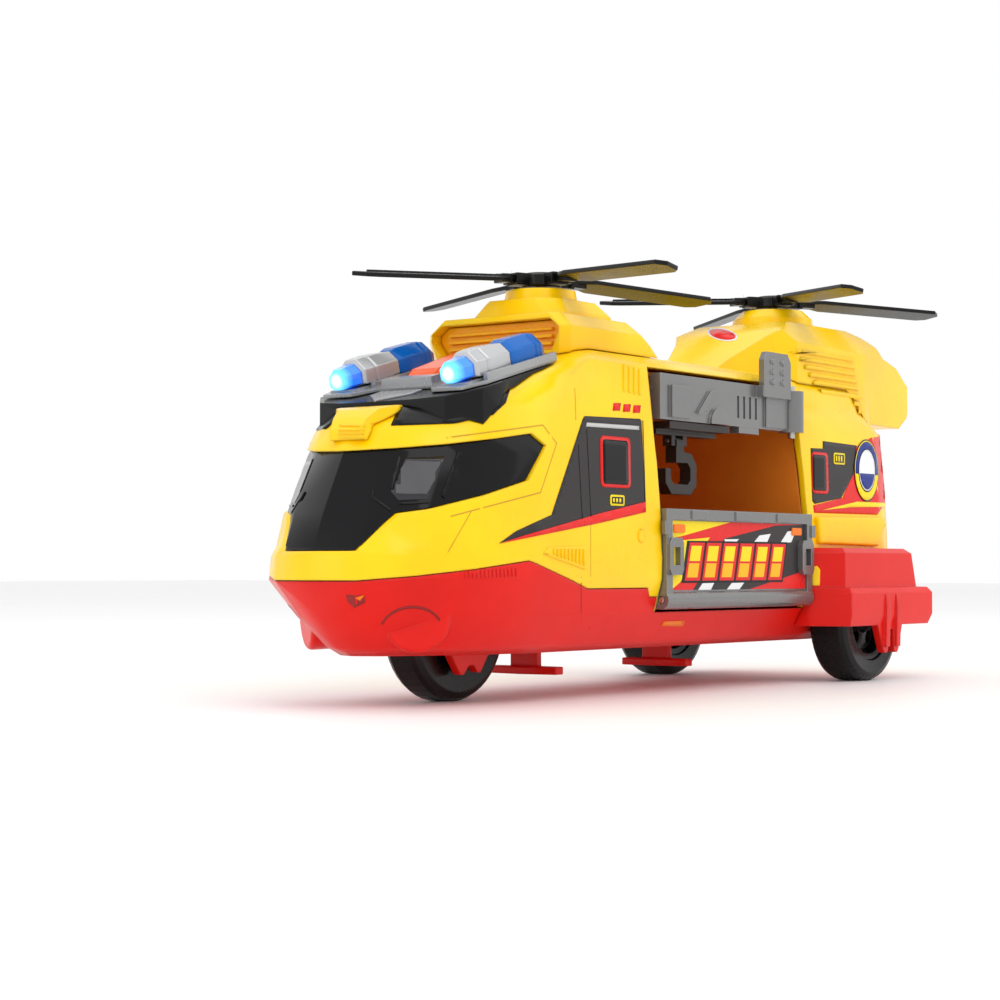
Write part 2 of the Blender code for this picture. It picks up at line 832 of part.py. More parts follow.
def make_hub(name, centre, turn):
    x, y, z = centre
    disc = turned(
        name,
        [(0.0, 5.6), (6.2, 5.6), (7.6, 4.6), (7.8, 1.0), (7.0, 0.3), (0.0, 0.3)],
        (0, 0, 0), (0, 0, 1), black(), steps=32,
    )
    pieces = [disc]
    for angle in ring_angles(4, turn):
        arm = box("socket", (5.0, -3.4, 0.6), (12.8, 3.4, 5.0))
        ear = box("ear", (10.8, -4.6, 1.0), (13.6, 4.6, 4.4))
        for piece in (arm, ear):
            piece.data.transform(Matrix.Rotation(angle, 4, "Z"))
            pieces.append(piece)
    hub = join(name, pieces, black())
    for angle in ring_angles(4, turn):
        mouth = box("mouth_" + name, (9.0, -2.3, 1.4), (20.0, 2.3, 3.8), helper=True)
        mouth.data.transform(Matrix.Rotation(angle, 4, "Z"))
        boolean(hub, mouth)
    hole = rod("hub_hole_" + name, 2.3, (0, 0, -2), (0, 0, 4.2), helper=True, segments=20)
    boolean(hub, hole)
    settle(hub)
    hub.location = Vector((x, y, z)) * MM
    return hub


def blade_outline():
    """Plan of a blade: root, swept leading edge and a clipped tip."""
    r = ROTOR_RADIUS
    c = BLADE_CHORD
    return [
        (15.0, -3.6),
        (22.0, -0.50 * c),
        (r - 3.0, -0.50 * c),
        (r, -0.50 * c + 3.4),
        (r - 2.6, 0.5 * c - 2.0),
        (r - 6.5, 0.5 * c),
        (24.0, 0.5 * c),
        (17.5, 3.4),
        (15.0, 3.0),
    ]


def make_blade(name, centre, angle):
    """One blade with its root tongue, drooping slightly toward the tip."""
    plate = flat("blade", blade_outline(), "Z", -0.2, BLADE_THICK - 0.2, black())
    tongue = box("tongue", (9.6, -1.9, -0.75), (17.0, 1.9, 0.85))
    edge = -0.5 * BLADE_CHORD
    rib = box("rib", (15.5, edge + 2.9, 0.9), (ROTOR_RADIUS - 6.0, edge + 4.3, 2.1))
    knuckle = box("knuckle", (14.1, -3.0, -1.0), (19.0, 3.0, 2.2))
    for piece in (plate, rib):
        piece.data.transform(Matrix.Rotation(BLADE_PITCH, 4, "X"))
    blade = join(name, [plate, tongue, rib, knuckle], black())
    droop = Matrix.Rotation(BLADE_DROOP, 4, "Y")
    lift = Matrix.Translation((0, 0, 2.95 * MM))
    blade.data.transform(Matrix.Rotation(angle, 4, "Z") @ lift @ droop)
    blade.location = Vector(centre) * MM
    return blade


def make_rotor(side, centre, turn):
    hub = make_hub(side + "_rotor_hub", centre, turn)
    blades = []
    for i, angle in enumerate(ring_angles(4, turn)):
        blades.append(make_blade(side + "_blade_" + str(i + 1), centre, angle))
    low = 126.5 if side == "front" else 125.5
    shaft = turned(
        side + "_rotor_shaft",
        [(0.0, 3.9), (2.0, 3.9), (2.0, -0.3), (2.9, -0.3), (2.9, low - centre[2]), (0.0, low - centre[2])],
        centre, (0, 0, 1), steel(), steps=20,
    )
    return hub, blades, shaft


# ---------------------------------------------------------------- doors


def make_door():
    """Drop-down side door with a hinge tube, frame, handles and latches."""
    x0, x1 = DOOR_X - 1.0, DOOR_X + 1.4
    y0, y1 = BAY_FRONT + 0.5, BAY_REAR - 0.5
    panel = box("door", (x0, y0, DOOR_Z), (x1, y1, DOOR_TOP))
    pieces = [panel]
    pieces.append(box("frame_top", (x0, y0, DOOR_TOP - 4.0), (x1 + 1.2, y1, DOOR_TOP)))
    pieces.append(box("frame_a", (x0, y0, DOOR_Z), (x1 + 1.2, y0 + 4.0, DOOR_TOP)))
    pieces.append(box("frame_b", (x0, y1 - 4.0, DOOR_Z), (x1 + 1.2, y1, DOOR_TOP)))
    pieces.append(rod("tube", 3.4, (DOOR_X, y0, DOOR_Z), (DOOR_X, y1, DOOR_Z), segments=24))
    for y in (y0 - 1.9, y1 - 1.2):
        pieces.append(box("latch", (DOOR_X + 1.55, y, 58.2), (DOOR_X + 3.2, y + 3.1, 63.0)))
    for y in (y0 + 5.2, y1 - 5.2):
        handle = flat(
            "handle",
            [(y - 3.4, 43.5), (y + 3.4, 43.5), (y + 4.6, 45.5), (y + 4.6, 55.0), (y + 3.4, 57.0),
             (y - 3.4, 57.0), (y - 4.6, 55.0), (y - 4.6, 45.5)],
            "X", x1 - 0.3, x1 + 2.4,
        )
        pieces.append(handle)
    for y in (-30.0, 1.5, 33.0):
        low = (x1 - 0.3, y - 5.5, DOOR_TOP - 3.6)
        pieces.append(box("top_rib", low, (x1 + 1.7, y + 5.5, DOOR_TOP - 0.4)))
    door = join("side_door", pieces, grey())
    for y in (y0 + 5.2, y1 - 5.2):
        hole = box("handle_hole", (x1 - 0.0, y - 2.3, 47.0), (x1 + 5.0, y + 2.3, 53.6), helper=True)
        boolean(door, hole)
    bore = rod("door_bore", 1.5, (DOOR_X, -90, DOOR_Z), (DOOR_X, 90, DOOR_Z), helper=True, segments=16)
    boolean(door, bore)
    settle(door)
    return pivot(door, (DOOR_X, 0.0, DOOR_Z))


def make_arm():
    """Crane arm across the top of the bay, on a hinge at its rear end."""
    front = -49.6
    beam = box("beam", (38.0, front, ARM_LOW), (42.6, ARM_Y - 3.0, ARM_HIGH))
    pieces = [beam]
    foot = (ARM_X, ARM_Y, ARM_LOW - 0.4)
    pieces.append(rod("barrel", 5.0, foot, (ARM_X, ARM_Y, ARM_HIGH - 0.7), segments=28))
    pieces.append(box("block", (42.0, front + 6.5, ARM_LOW + 1.0), (43.8, front + 19.0, ARM_HIGH - 4.0)))
    pieces.append(
        flat("brace", [(-25.0, 103.5), (-22.0, 103.5), (-12.0, 112.5), (-15.5, 112.5)], "X", 42.0, 43.6)
    )
    arch = rod("arch", 6.4, (42.0, -9.0, ARM_LOW), (43.8, -9.0, ARM_LOW), segments=28)
    pieces.append(arch)
    pieces.append(box("rear_pad", (42.0, 26.0, ARM_LOW + 0.8), (43.6, 43.0, ARM_HIGH - 0.4)))
    pieces.append(box("tab", (38.4, 7.0, ARM_LOW - 2.4), (42.4, 22.0, ARM_LOW + 1.0)))
    pieces.append(box("tongue", (41.0, 20.0, 112.5), (45.6, 41.5, ARM_HIGH - 0.2)))
    grip = flat(
        "grip",
        [(20.5, 112.5), (41.5, 112.5), (41.5, 127.0), (39.0, 130.2), (22.5, 130.2), (20.5, 127.0)],
        "X", 43.4, 45.8,
    )
    pieces.append(grip)
    for y in (27.0, 35.0):
        for z in (118.5, 122.5, 126.5):
            pieces.append(rod("bump", 1.5, (45.5, y, z), (46.6, y, z), segments=12, tip=1.0))
    arm = join("crane_arm", pieces, grey())
    trim = box("arch_trim", (30, -20, ARM_LOW - 10), (60, 0, ARM_LOW), helper=True)
    boolean(arm, trim)
    for y in (6.0, 10.5, 15.0, 19.5):
        slot = box("arm_slot", (41.6, y - 0.9, 103.5), (50.0, y + 0.9, 112.0), helper=True)
        boolean(arm, slot)
    bore = rod("arm_bore", 1.75, (ARM_X, ARM_Y, 90), (ARM_X, ARM_Y, 130), helper=True, segments=16)
    boolean(arm, bore)
    settle(arm)
    return pivot(arm, (ARM_X, ARM_Y, ARM_LOW))


def make_hook_rail():
    """Bracket under the free end of the arm, with an eye for the hook."""
    mid = -20.0 + HOOK_SHIFT
    rail = box("hook_rail", (30.0, -42.0, 97.2), (42.0, 0.0, ARM_LOW - GAP))
    web = box("web", (30.0, -42.0, 95.4), (36.0, 0.0, 98.0))
    ear_a = box("ear_a", (31.0, mid - 5.2, 91.6), (35.0, mid - 2.7, 97.0))
    ear_b = box("ear_b", (31.0, mid + 2.7, 91.6), (35.0, mid + 5.2, 97.0))
    rail = join("hook_rail", [rail, web, ear_a, ear_b], dark_grey())
    bore = rod("rail_bore", 0.95, (33.0, -40, 93.4), (33.0, 0, 93.4), helper=True, segments=16)
    boolean(rail, bore)
    settle(rail)
    return pivot(rail, (ARM_X, ARM_Y, ARM_LOW))


HOOK_SHIFT = -4.5


def make_hook():
    """Cargo hook: a thick C open to the front, hung on a pin."""
    outline = [
        (-22.6, 94.6), (-17.4, 94.6), (-17.4, 89.6), (-12.0, 89.0), (-8.5, 85.0), (-8.5, 77.0),
        (-12.5, 73.5), (-26.0, 73.5), (-30.0, 77.5), (-30.0, 83.0), (-26.6, 83.0), (-26.6, 79.2),
        (-24.5, 77.3), (-14.5, 77.3), (-12.6, 79.0), (-12.6, 83.4), (-14.6, 85.4), (-22.6, 85.4),
    ]
    outline = [(y + HOOK_SHIFT, z) for y, z in outline]
    hook = flat("crane_hook", outline, "X", 30.6, 35.4, dark_grey())
    bore = rod("hook_bore", 1.0, (33.0, -40, 93.4), (33.0, 0, 93.4), helper=True, segments=16)
    boolean(hook, bore)
    neck_low = -22.3 + HOOK_SHIFT
    neck_high = -17.7 + HOOK_SHIFT
    boolean(hook, box("hook_neck", (20, neck_low - 1.0, 91.3), (50, neck_low, 99), helper=True))
    boolean(hook, box("hook_neck_b", (20, neck_high, 91.3), (50, neck_high + 1.0, 99), helper=True))
    boolean(hook, box("hook_eye_a", (30.0, -40, 94.0), (31.8, 0, 99), helper=True))
    boolean(hook, box("hook_eye_b", (34.2, -40, 94.0), (36.0, 0, 99), helper=True))
    settle(hook)
    return pivot(hook, (33.0, -20.0 + HOOK_SHIFT, 93.4))


def make_pins():
    """Steel pins of the door, the arm and the hook."""
    door_low = (DOOR_X, BAY_FRONT + 0.6, DOOR_Z)
    door_high = (DOOR_X, BAY_REAR - 0.6, DOOR_Z)
    hook_low = (33.0, -25.0 + HOOK_SHIFT, 93.4)
    hook_high = (33.0, -15.0 + HOOK_SHIFT, 93.4)
    pins = [
        rod("door_hinge_pin", 1.2, door_low, door_high, steel(), segments=14),
        rod("arm_hinge_pin", 1.45, (ARM_X, ARM_Y, 97.6), (ARM_X, ARM_Y, 118.4), steel(), segments=14),
        rod("hook_pin", 0.65, hook_low, hook_high, steel(), segments=12),
    ]
    pivot(pins[0], (DOOR_X, 0.0, DOOR_Z))
    pivot(pins[1], (ARM_X, ARM_Y, ARM_LOW))
    pivot(pins[2], (33.0, -20.0 + HOOK_SHIFT, 93.4))
    return pins


# ---------------------------------------------------------------- gear


def wheel_profile(width, r):
    """Tyre section: flat tread, rounded shoulders and an open middle."""
    w = width * 0.5
    return [
        (17.2, w - 0.6),
        (r - 3.2, w),
        (r - 1.0, w - 0.8),
        (r, w - 2.6),
        (r, -w + 2.6),
        (r - 1.0, -w + 0.8),
        (r - 3.2, -w),
        (17.2, -w + 0.6),
    ]


def make_wheel(name, centre, width, outer_sign, r):
    """Tyre and five-spoke rim, both turned about the axle."""
    tyre = turned(name + "_tyre", wheel_profile(width, r), (0, 0, 0), (1, 0, 0), black(), steps=48)
    smooth(tyre)
    tyre.location = Vector(centre) * MM
    w = width * 0.5
    rim = turned(
        name + "_rim",
        [(2.4, w - 2.4), (5.0, w - 2.4), (6.0, w - 4.4), (12.5, w - 5.2), (14.5, w - 1.8),
         (16.9, w - 1.4), (16.9, -w + 1.4), (14.5, -w + 1.8), (12.5, w - 8.4), (5.0, w - 8.4),
         (5.0, -w + 2.0), (2.4, -w + 2.0)],
        (0, 0, 0), (1, 0, 0), black(), steps=48,
    )
    for i, angle in enumerate(ring_angles(5, math.pi / 2.0)):
        y = 9.3 * math.cos(angle)
        z = 9.3 * math.sin(angle)
        gap = rod("spoke_gap_" + name + str(i), 2.7, (-30, y, z), (30, y, z), helper=True, segments=16)
        boolean(rim, gap)
    settle(rim)
    if outer_sign < 0:
        rim.data.transform(Matrix.Rotation(math.pi, 4, "Z"))
    smooth(rim)
    rim.location = Vector(centre) * MM
    return tyre, rim


def make_axles():
    z = WHEEL_R
    return [
        rod("rear_axle", AXLE_R, (-57.3, REAR_WHEEL_Y, z), (57.3, REAR_WHEEL_Y, z), steel(), segments=20),
        rod(
            "nose_axle", AXLE_R, (-11.0, NOSE_WHEEL_Y, NOSE_WHEEL_R), (11.0, NOSE_WHEEL_Y, NOSE_WHEEL_R),
            steel(), segments=20,
        ),
    ]


def make_nose_fork():
    """Red wheel box of the nose wheel, with a notched cheek on each side."""
    pieces = []
    y = NOSE_WHEEL_Y
    block = box("nose_fork", (-11.4, y - 31.0, 17.4), (11.4, y + 31.0, 60.0))
    pieces.append(block)
    cheek = [
        (y - 13.5, 20.0), (y - 9.0, 14.0), (y - 5.5, 9.5), (y - 4.0, 9.5), (y - 1.0, 12.5),
        (y + 2.0, 12.5), (y + 4.0, 10.0), (y + 5.5, 10.0), (y + 9.0, 14.5), (y + 13.5, 20.0),
        (y + 13.5, 30.0), (y - 13.5, 30.0),
    ]
    for side in (-1, 1):
        low, high = sorted((side * 8.2, side * 11.4))
        pieces.append(flat("cheek", cheek, "X", low, high))
    fork = join("nose_fork", pieces, red())
    slot = box("fork_slot", (-7.6, y - 29.2, -5), (7.6, y + 29.2, 57.6), helper=True)
    bore = rod("fork_bore", 2.2, (-20, y, NOSE_WHEEL_R), (20, y, NOSE_WHEEL_R), helper=True, segments=20)
    cut(fork, slot, bore)
    return settle(fork)


def make_sponson():
    """Left wheel housing with its ribbed axle cover, hollow for the wheel."""
    y = REAR_WHEEL_Y
    shell = loft(
        "sponson_left",
        [
            sponson_ring(60.4, 57.0, 62.8, 132.6, 144.5, 22.8),
            sponson_ring(61.4, 56.6, 62.2, 135.0, 146.0, 27.0),
            sponson_ring(61.4, 56.6, 62.2, 135.0, 146.0, 36.0),
            sponson_ring(60.0, 56.9, 63.2, 133.0, 143.5, 38.2),
            sponson_ring(57.4, 57.4, 64.4, 128.0, 138.0, 38.4),
            sponson_ring(57.2, 57.8, 64.8, 124.0, 131.0, 52.2),
            sponson_ring(55.0, 60.0, 66.5, 121.0, 128.0, 54.2),
        ],
        red(),
    )
    cover = flat(
        "axle_cover",
        [(y - 9.0, 30.0), (y + 18.5, 30.0), (y + 12.6, 12.8), (y + 11.4, 11.5), (y + 9.6, 11.5),
         (y + 8.6, 12.8), (y + 8.2, 21.0), (y + 3.6, 21.0), (y + 3.2, 12.8), (y + 2.2, 11.5),
         (y + 0.4, 11.5), (y - 0.8, 12.8)],
        "X", 57.6, 60.6,
    )
    ribs = [shell, cover]
    for low in (y - 0.6, y + 8.8):
        ribs.append(
            flat("axle_rib", [(59.0, 36.6), (61.6, 35.4), (62.2, 30.0), (61.8, 14.0), (59.0, 14.0)],
                 "Y", low, low + 3.2)
        )
    shell = join("sponson_left", ribs, red())
    hollow = box("sponson_hollow", (30.0, y - 26.4, -5.0), (55.8, y + 26.4, 51.7), helper=True)
    body = body_loft("sponson_inside", -GAP)
    bore = rod("sponson_bore", 2.2, (30, y, WHEEL_R), (57.6, y, WHEEL_R), helper=True, segments=20)
    cut(shell, hollow, body, bore)
    shell = settle(shell)
    return [shell, mirrored(shell, "sponson_right")]


def sponson_ring(outer, front_in, front_out, rear_out, rear_in, z):
    return [
        (30.0, front_in, z),
        (46.0, front_in, z),
        (outer, front_out, z),
        (outer, rear_out, z),
        (46.0, rear_in, z),
        (30.0, rear_in, z),
    ]


def make_belly_foot(name, y):
    """T-shaped stand and hook rail plugged into the belly."""
    stem = box(name, (-6.0, y - 1.5, 8.4), (6.0, y + 1.5, 21.4))
    bar = flat(
        "bar",
        [(-15.0, y - 2.4), (0.0, y - 4.6), (15.0, y - 2.4), (15.0, y + 2.4), (0.0, y + 4.6), (-15.0, y + 2.4)],
        "Z", 7.6, 10.4,
    )
    foot = join(name, [stem, bar], red())
    return foot


# ---------------------------------------------------------------- inner parts


def make_battery_box():
    """Cover in the belly and three small cells behind it."""
    cover = box("battery_cover", (-24.0, 23.0, 16.8), (24.0, 75.0, 19.0), red())
    made = [cover]
    for i in range(3):
        x = -12.5 + 12.5 * i
        cell = turned(
            "battery_" + str(i + 1),
            [(0.0, 22.4), (1.9, 22.4), (1.9, 21.4), (5.2, 21.4), (5.2, -21.4), (0.0, -21.4)],
            (x, 49.0, 24.9), (0, 1, 0), material("battery_wrap", (0.35, 0.36, 0.38), 0.35, 0.6), steps=20,
        )
        made.append(cell)
    return made


def make_electronics():
    """Speaker in the tail, circuit board and light guides in the nose."""
    speaker = turned(
        "speaker",
        [(0.0, 2.0), (5.0, 2.0), (5.0, 4.6), (14.0, 3.0), (14.5, 0.0), (14.5, -1.0), (0.0, -1.0)],
        (0, -20.0, 21.5), (0, 0, 1), dark_grey(), steps=28,
    )
    board = box(
        "circuit_board", (-14.0, -146.0, 78.0), (14.0, -104.0, 79.6),
        material("green_board", (0.02, 0.22, 0.08), 0.45),
    )
    return [speaker, board]


# ---------------------------------------------------------------- assembly


def main():
    clear_scene()
    make_body()
    make_bay_liner()
    make_light_base()
    make_crest()
    make_light_tray()
    make_pods()
    make_button()
    make_front_pylon()
    make_grille()
    make_rear_pylon()
    make_rotor("front", FRONT_HUB, FRONT_TURN)
    make_rotor("rear", REAR_HUB, REAR_TURN)
    make_door()
    make_arm()
    make_hook_rail()
    make_hook()
    make_pins()
    make_wheel("left_wheel", (REAR_WHEEL_X, REAR_WHEEL_Y, WHEEL_R), REAR_WHEEL_W, 1, WHEEL_R)
    make_wheel("right_wheel", (-REAR_WHEEL_X, REAR_WHEEL_Y, WHEEL_R), REAR_WHEEL_W, -1, WHEEL_R)
    make_wheel("nose_wheel", (0, NOSE_WHEEL_Y, NOSE_WHEEL_R), NOSE_WHEEL_W, 1, NOSE_WHEEL_R)
    make_axles()
    make_nose_fork()
    make_sponson()
    make_belly_foot("front_belly_foot", BELLY_FEET[0])
    make_belly_foot("rear_belly_foot", BELLY_FEET[1])
    make_battery_box()
    make_electronics()
    for obj in collection("cutters").objects:
        obj.hide_render = True


main()
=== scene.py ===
"""Looks of the toy rescue helicopter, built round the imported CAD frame.

Forward is -Y, left is +X and up is +Z. Plain numbers are millimetres; MM turns them into metres.
Side graphics are outlines of (y, z) points in the plane x = SIDE. They are carried onto the shell along
lines to SIGHT, the camera's place, and most are then mirrored to the right side.
"""

import json
import math

import bmesh
import bpy
from mathutils import Matrix, Vector
from mathutils.bvhtree import BVHTree

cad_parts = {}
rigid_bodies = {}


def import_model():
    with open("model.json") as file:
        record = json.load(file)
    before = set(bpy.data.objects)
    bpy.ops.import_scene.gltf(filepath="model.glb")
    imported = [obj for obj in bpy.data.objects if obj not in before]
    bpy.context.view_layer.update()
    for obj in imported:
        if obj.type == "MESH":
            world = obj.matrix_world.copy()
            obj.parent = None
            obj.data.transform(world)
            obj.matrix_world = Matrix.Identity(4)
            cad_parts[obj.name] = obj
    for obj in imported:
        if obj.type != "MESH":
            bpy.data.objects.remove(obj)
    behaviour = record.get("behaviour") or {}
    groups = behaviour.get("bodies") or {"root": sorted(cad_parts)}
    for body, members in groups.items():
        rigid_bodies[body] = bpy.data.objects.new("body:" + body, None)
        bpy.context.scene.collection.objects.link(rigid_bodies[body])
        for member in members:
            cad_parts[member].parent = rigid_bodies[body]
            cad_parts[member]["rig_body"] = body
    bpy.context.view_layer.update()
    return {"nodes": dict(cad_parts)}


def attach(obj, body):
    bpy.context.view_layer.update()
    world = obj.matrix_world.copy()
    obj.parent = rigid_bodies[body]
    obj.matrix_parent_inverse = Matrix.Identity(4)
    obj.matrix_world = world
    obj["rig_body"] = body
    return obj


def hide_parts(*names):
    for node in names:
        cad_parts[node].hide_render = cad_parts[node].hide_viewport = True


for stale in list(bpy.data.objects):
    bpy.data.objects.remove(stale)

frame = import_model()
NODES = frame["nodes"]
SCENE = bpy.context.scene
MM = 0.001
METRE = 1000.0

# The camera's place in metres, its direction in degrees, and its lens and sensor in millimetres
SIGHT = Vector((0.4719, -0.72638, 0.04554))
AZIMUTH = 36.55
ELEVATION = -1.8
LENS = 79.452
SENSOR = 36.0

# Planes x = ... that outlines are drawn in: body side, tail fairing, badge and the door's outer face
SIDE = 46.0
TAIL_SIDE = 30.0
BADGE_SIDE = 15.0
DOOR_FACE = 46.02

# Thickness of a printed film on the shell, and of one on the door
FILM = 0.1
DOOR_FILM = 0.12

# An edge angle above every real one, so that no edge stays sharp
ALL_SMOOTH = 181.0


# ---------------------------------------------------------------- materials

# Noise scales, per metre
MOTTLE_SCALE = 26.0
GLOSS_SCALE = 75.0
PEEL_SCALE = 1300.0
PRINT_SCALE = 2600.0

# Cosine between an edge's rounded normal and its face where the lighter edge, part wear and part painted
# highlight, starts, and where it is full
WEAR_AND_HIGHLIGHT_START = 0.99
WEAR_AND_HIGHLIGHT_FULL = 0.86

# Sockets of a colour Mix node, which share their names with the float and vector ones
MIX_FACTOR, MIX_A, MIX_B, MIX_RESULT = 0, 6, 7, 2

# Middle of the left lamp's glow in metres, and how fast the glow fades
GLOW_CENTRE = (0.0243, -0.1528, 0.1098)
GLOW_FADE = 140.0


def add(tree, kind, **values):
    node = tree.nodes.new(kind)
    for key, value in values.items():
        setattr(node, key, value)
    return node


def ramp(tree, source, stops):
    """Colour ramp through (position, colour) stops, fed by a value."""
    node = add(tree, "ShaderNodeValToRGB")
    elements = node.color_ramp.elements
    elements[0].position = stops[0][0]
    elements[0].color = (*stops[0][1], 1.0)
    elements[1].position = stops[-1][0]
    elements[1].color = (*stops[-1][1], 1.0)
    for position, colour in stops[1:-1]:
        elements.new(position).color = (*colour, 1.0)
    tree.links.new(source, node.inputs["Fac"])
    return node.outputs["Color"]


def noise(tree, coord, scale, detail, rough=0.55):
    node = add(tree, "ShaderNodeTexNoise")
    node.inputs["Scale"].default_value = scale
    node.inputs["Detail"].default_value = detail
    node.inputs["Roughness"].default_value = rough
    tree.links.new(coord, node.inputs["Vector"])
    return node.outputs["Fac"]


def spread(tree, source, low, high, start=0.3, end=0.7):
    """Maps start..end, by default the middle of a noise, to low..high."""
    node = add(tree, "ShaderNodeMapRange")
    node.inputs["From Min"].default_value = start
    node.inputs["From Max"].default_value = end
    node.inputs["To Min"].default_value = low
    node.inputs["To Max"].default_value = high
    tree.links.new(source, node.inputs["Value"])
    return node.outputs["Result"]


def multiplied(tree, first, second):
    node = add(tree, "ShaderNodeMath", operation="MULTIPLY")
    tree.links.new(first, node.inputs[0])
    tree.links.new(second, node.inputs[1])
    return node.outputs["Value"]


def worn_and_highlit_edges(tree, base, gloss, rounded, colour, wear_and_highlight):
    """Lightens the colour, unevenly, where an edge's rounded normal leaves its face: part edge wear, part
    painted highlight.
    """
    flat = add(tree, "ShaderNodeNewGeometry")
    dot = add(tree, "ShaderNodeVectorMath", operation="DOT_PRODUCT")
    tree.links.new(rounded, dot.inputs[0])
    tree.links.new(flat.outputs["Normal"], dot.inputs[1])
    rub_and_highlight = spread(tree, dot.outputs["Value"], 0.0, wear_and_highlight, WEAR_AND_HIGHLIGHT_START, WEAR_AND_HIGHLIGHT_FULL)
    mix = add(tree, "ShaderNodeMix", data_type="RGBA")
    mix.inputs[MIX_B].default_value = (*[0.55 + 0.45 * c for c in colour], 1.0)
    tree.links.new(multiplied(tree, rub_and_highlight, gloss), mix.inputs[MIX_FACTOR])
    tree.links.new(base, mix.inputs[MIX_A])
    return mix.outputs[MIX_RESULT]


def plastic(name, colour, rough, shade=None, metallic=0.0, coat=0.0, depth=0.0, peel=0.08,
            grain=PEEL_SCALE, wear_and_highlight=0.10, edge=0.8, spread_by=0.03, shine=0.5):
    """Moulded plastic: faint mottle, orange peel, uneven gloss and lighter edges that are part handling
    wear, part painted highlight.

    shade is the mottle's darker colour, depth the subsurface weight and edge the rounding in mm.
    """
    mat = bpy.data.materials.new(name)
    mat.use_nodes = True
    mat.diffuse_color = (*colour, 1.0)
    tree = mat.node_tree
    shader = tree.nodes["Principled BSDF"]
    shader.inputs["Metallic"].default_value = metallic
    shader.inputs["Specular IOR Level"].default_value = shine
    shader.inputs["Coat Weight"].default_value = coat
    shader.inputs["Coat Roughness"].default_value = 0.06
    if depth:
        shader.inputs["Subsurface Weight"].default_value = depth
        shader.inputs["Subsurface Radius"].default_value = (1.0, 0.45, 0.08)
        shader.inputs["Subsurface Scale"].default_value = 0.004
    coord = add(tree, "ShaderNodeTexCoord").outputs["Object"]
    mottle = noise(tree, coord, MOTTLE_SCALE, detail=4.0)
    darker = shade or tuple(0.93 * c for c in colour)
    base = ramp(tree, mottle, [(0.36, darker), (0.66, colour)])
    gloss = noise(tree, coord, GLOSS_SCALE, detail=6.0, rough=0.7)
    tree.links.new(spread(tree, gloss, max(0.02, rough - spread_by), rough + spread_by),
                   shader.inputs["Roughness"])
    bump = add(tree, "ShaderNodeBump")
    bump.inputs["Strength"].default_value = peel
    bump.inputs["Distance"].default_value = 0.0001
    tree.links.new(noise(tree, coord, grain, detail=2.0), bump.inputs["Height"])
    if edge:
        rounded = add(tree, "ShaderNodeBevel", samples=4)
        rounded.inputs["Radius"].default_value = edge * MM
        # Lighter edges: part wear, part painted highlight along the rounding
        base = worn_and_highlit_edges(tree, base, gloss, rounded.outputs["Normal"], colour, wear_and_highlight)
        tree.links.new(rounded.outputs["Normal"], bump.inputs["Normal"])
    tree.links.new(base, shader.inputs["Base Color"])
    tree.links.new(bump.outputs["Normal"], shader.inputs["Normal"])
    return mat


def ink(name, colour, rough=0.28):
    """Printed label film: thin, even colour with faint print speckle."""
    return plastic(name, colour, rough, peel=0.04, grain=PRINT_SCALE, wear_and_highlight=0.0, edge=0.0, shine=0.2)


def lamp_material():
    """Lit lens: white-blue in the middle, deep blue at the rim. Both lamps glow alike."""
    mat = plastic("lamp_lens_lit", (0.03, 0.25, 0.85), 0.12, coat=0.6, wear_and_highlight=0.0, edge=0.2)
    tree = mat.node_tree
    shader = tree.nodes["Principled BSDF"]
    place = add(tree, "ShaderNodeTexCoord")
    split = add(tree, "ShaderNodeSeparateXYZ")
    tree.links.new(place.outputs["Object"], split.inputs["Vector"])
    side = add(tree, "ShaderNodeMath", operation="ABSOLUTE")
    tree.links.new(split.outputs["X"], side.inputs[0])
    point = add(tree, "ShaderNodeCombineXYZ")
    tree.links.new(side.outputs["Value"], point.inputs["X"])
    tree.links.new(split.outputs["Y"], point.inputs["Y"])
    tree.links.new(split.outputs["Z"], point.inputs["Z"])
    far = add(tree, "ShaderNodeVectorMath", operation="DISTANCE")
    far.inputs[1].default_value = GLOW_CENTRE
    tree.links.new(point.outputs["Vector"], far.inputs[0])
    size = add(tree, "ShaderNodeMath", operation="MULTIPLY")
    size.inputs[1].default_value = GLOW_FADE
    tree.links.new(far.outputs["Value"], size.inputs[0])
    stops = [(0.15, (1.0, 1.0, 1.0)), (0.45, (0.10, 0.50, 1.0)), (0.95, (0.0, 0.03, 0.30))]
    tree.links.new(ramp(tree, size.outputs["Value"], stops), shader.inputs["Emission Color"])
    shader.inputs["Emission Strength"].default_value = 1.7
    return mat


YELLOW = plastic("shell_yellow", (1.0, 0.66, 0.002), 0.26, (0.98, 0.59, 0.001), coat=0.08, depth=0.06,
                 edge=1.1, shine=0.26)
# The tub is the shell's yellow plastic, painted darker and oranger as painted shade inside the bay
YELLOW_IN_SHADED = plastic("tub_yellow_shaded", (0.84, 0.27, 0.022), 0.42, (0.76, 0.20, 0.016), shine=0.25)
RED = plastic("hull_red", (0.78, 0.010, 0.005), 0.30, (0.70, 0.008, 0.004), coat=0.03, depth=0.03,
              edge=1.0, shine=0.2)
GLASS = plastic("glass_black", (0.006, 0.006, 0.007), 0.10, coat=0.05, peel=0.03, wear_and_highlight=0.05, edge=0.4,
                spread_by=0.02, shine=0.14)
PANE = plastic("glass_pane", (0.016, 0.016, 0.020), 0.06, coat=0.25, peel=0.02, wear_and_highlight=0.0, edge=0.0,
               spread_by=0.02, shine=0.35)
TRIM = plastic("trim_black", (0.004, 0.004, 0.004), 0.22, wear_and_highlight=0.06, shine=0.22)
BLADE = plastic("blade_black", (0.004, 0.004, 0.004), 0.26, wear_and_highlight=0.06, grain=700.0, edge=0.4, shine=0.22)
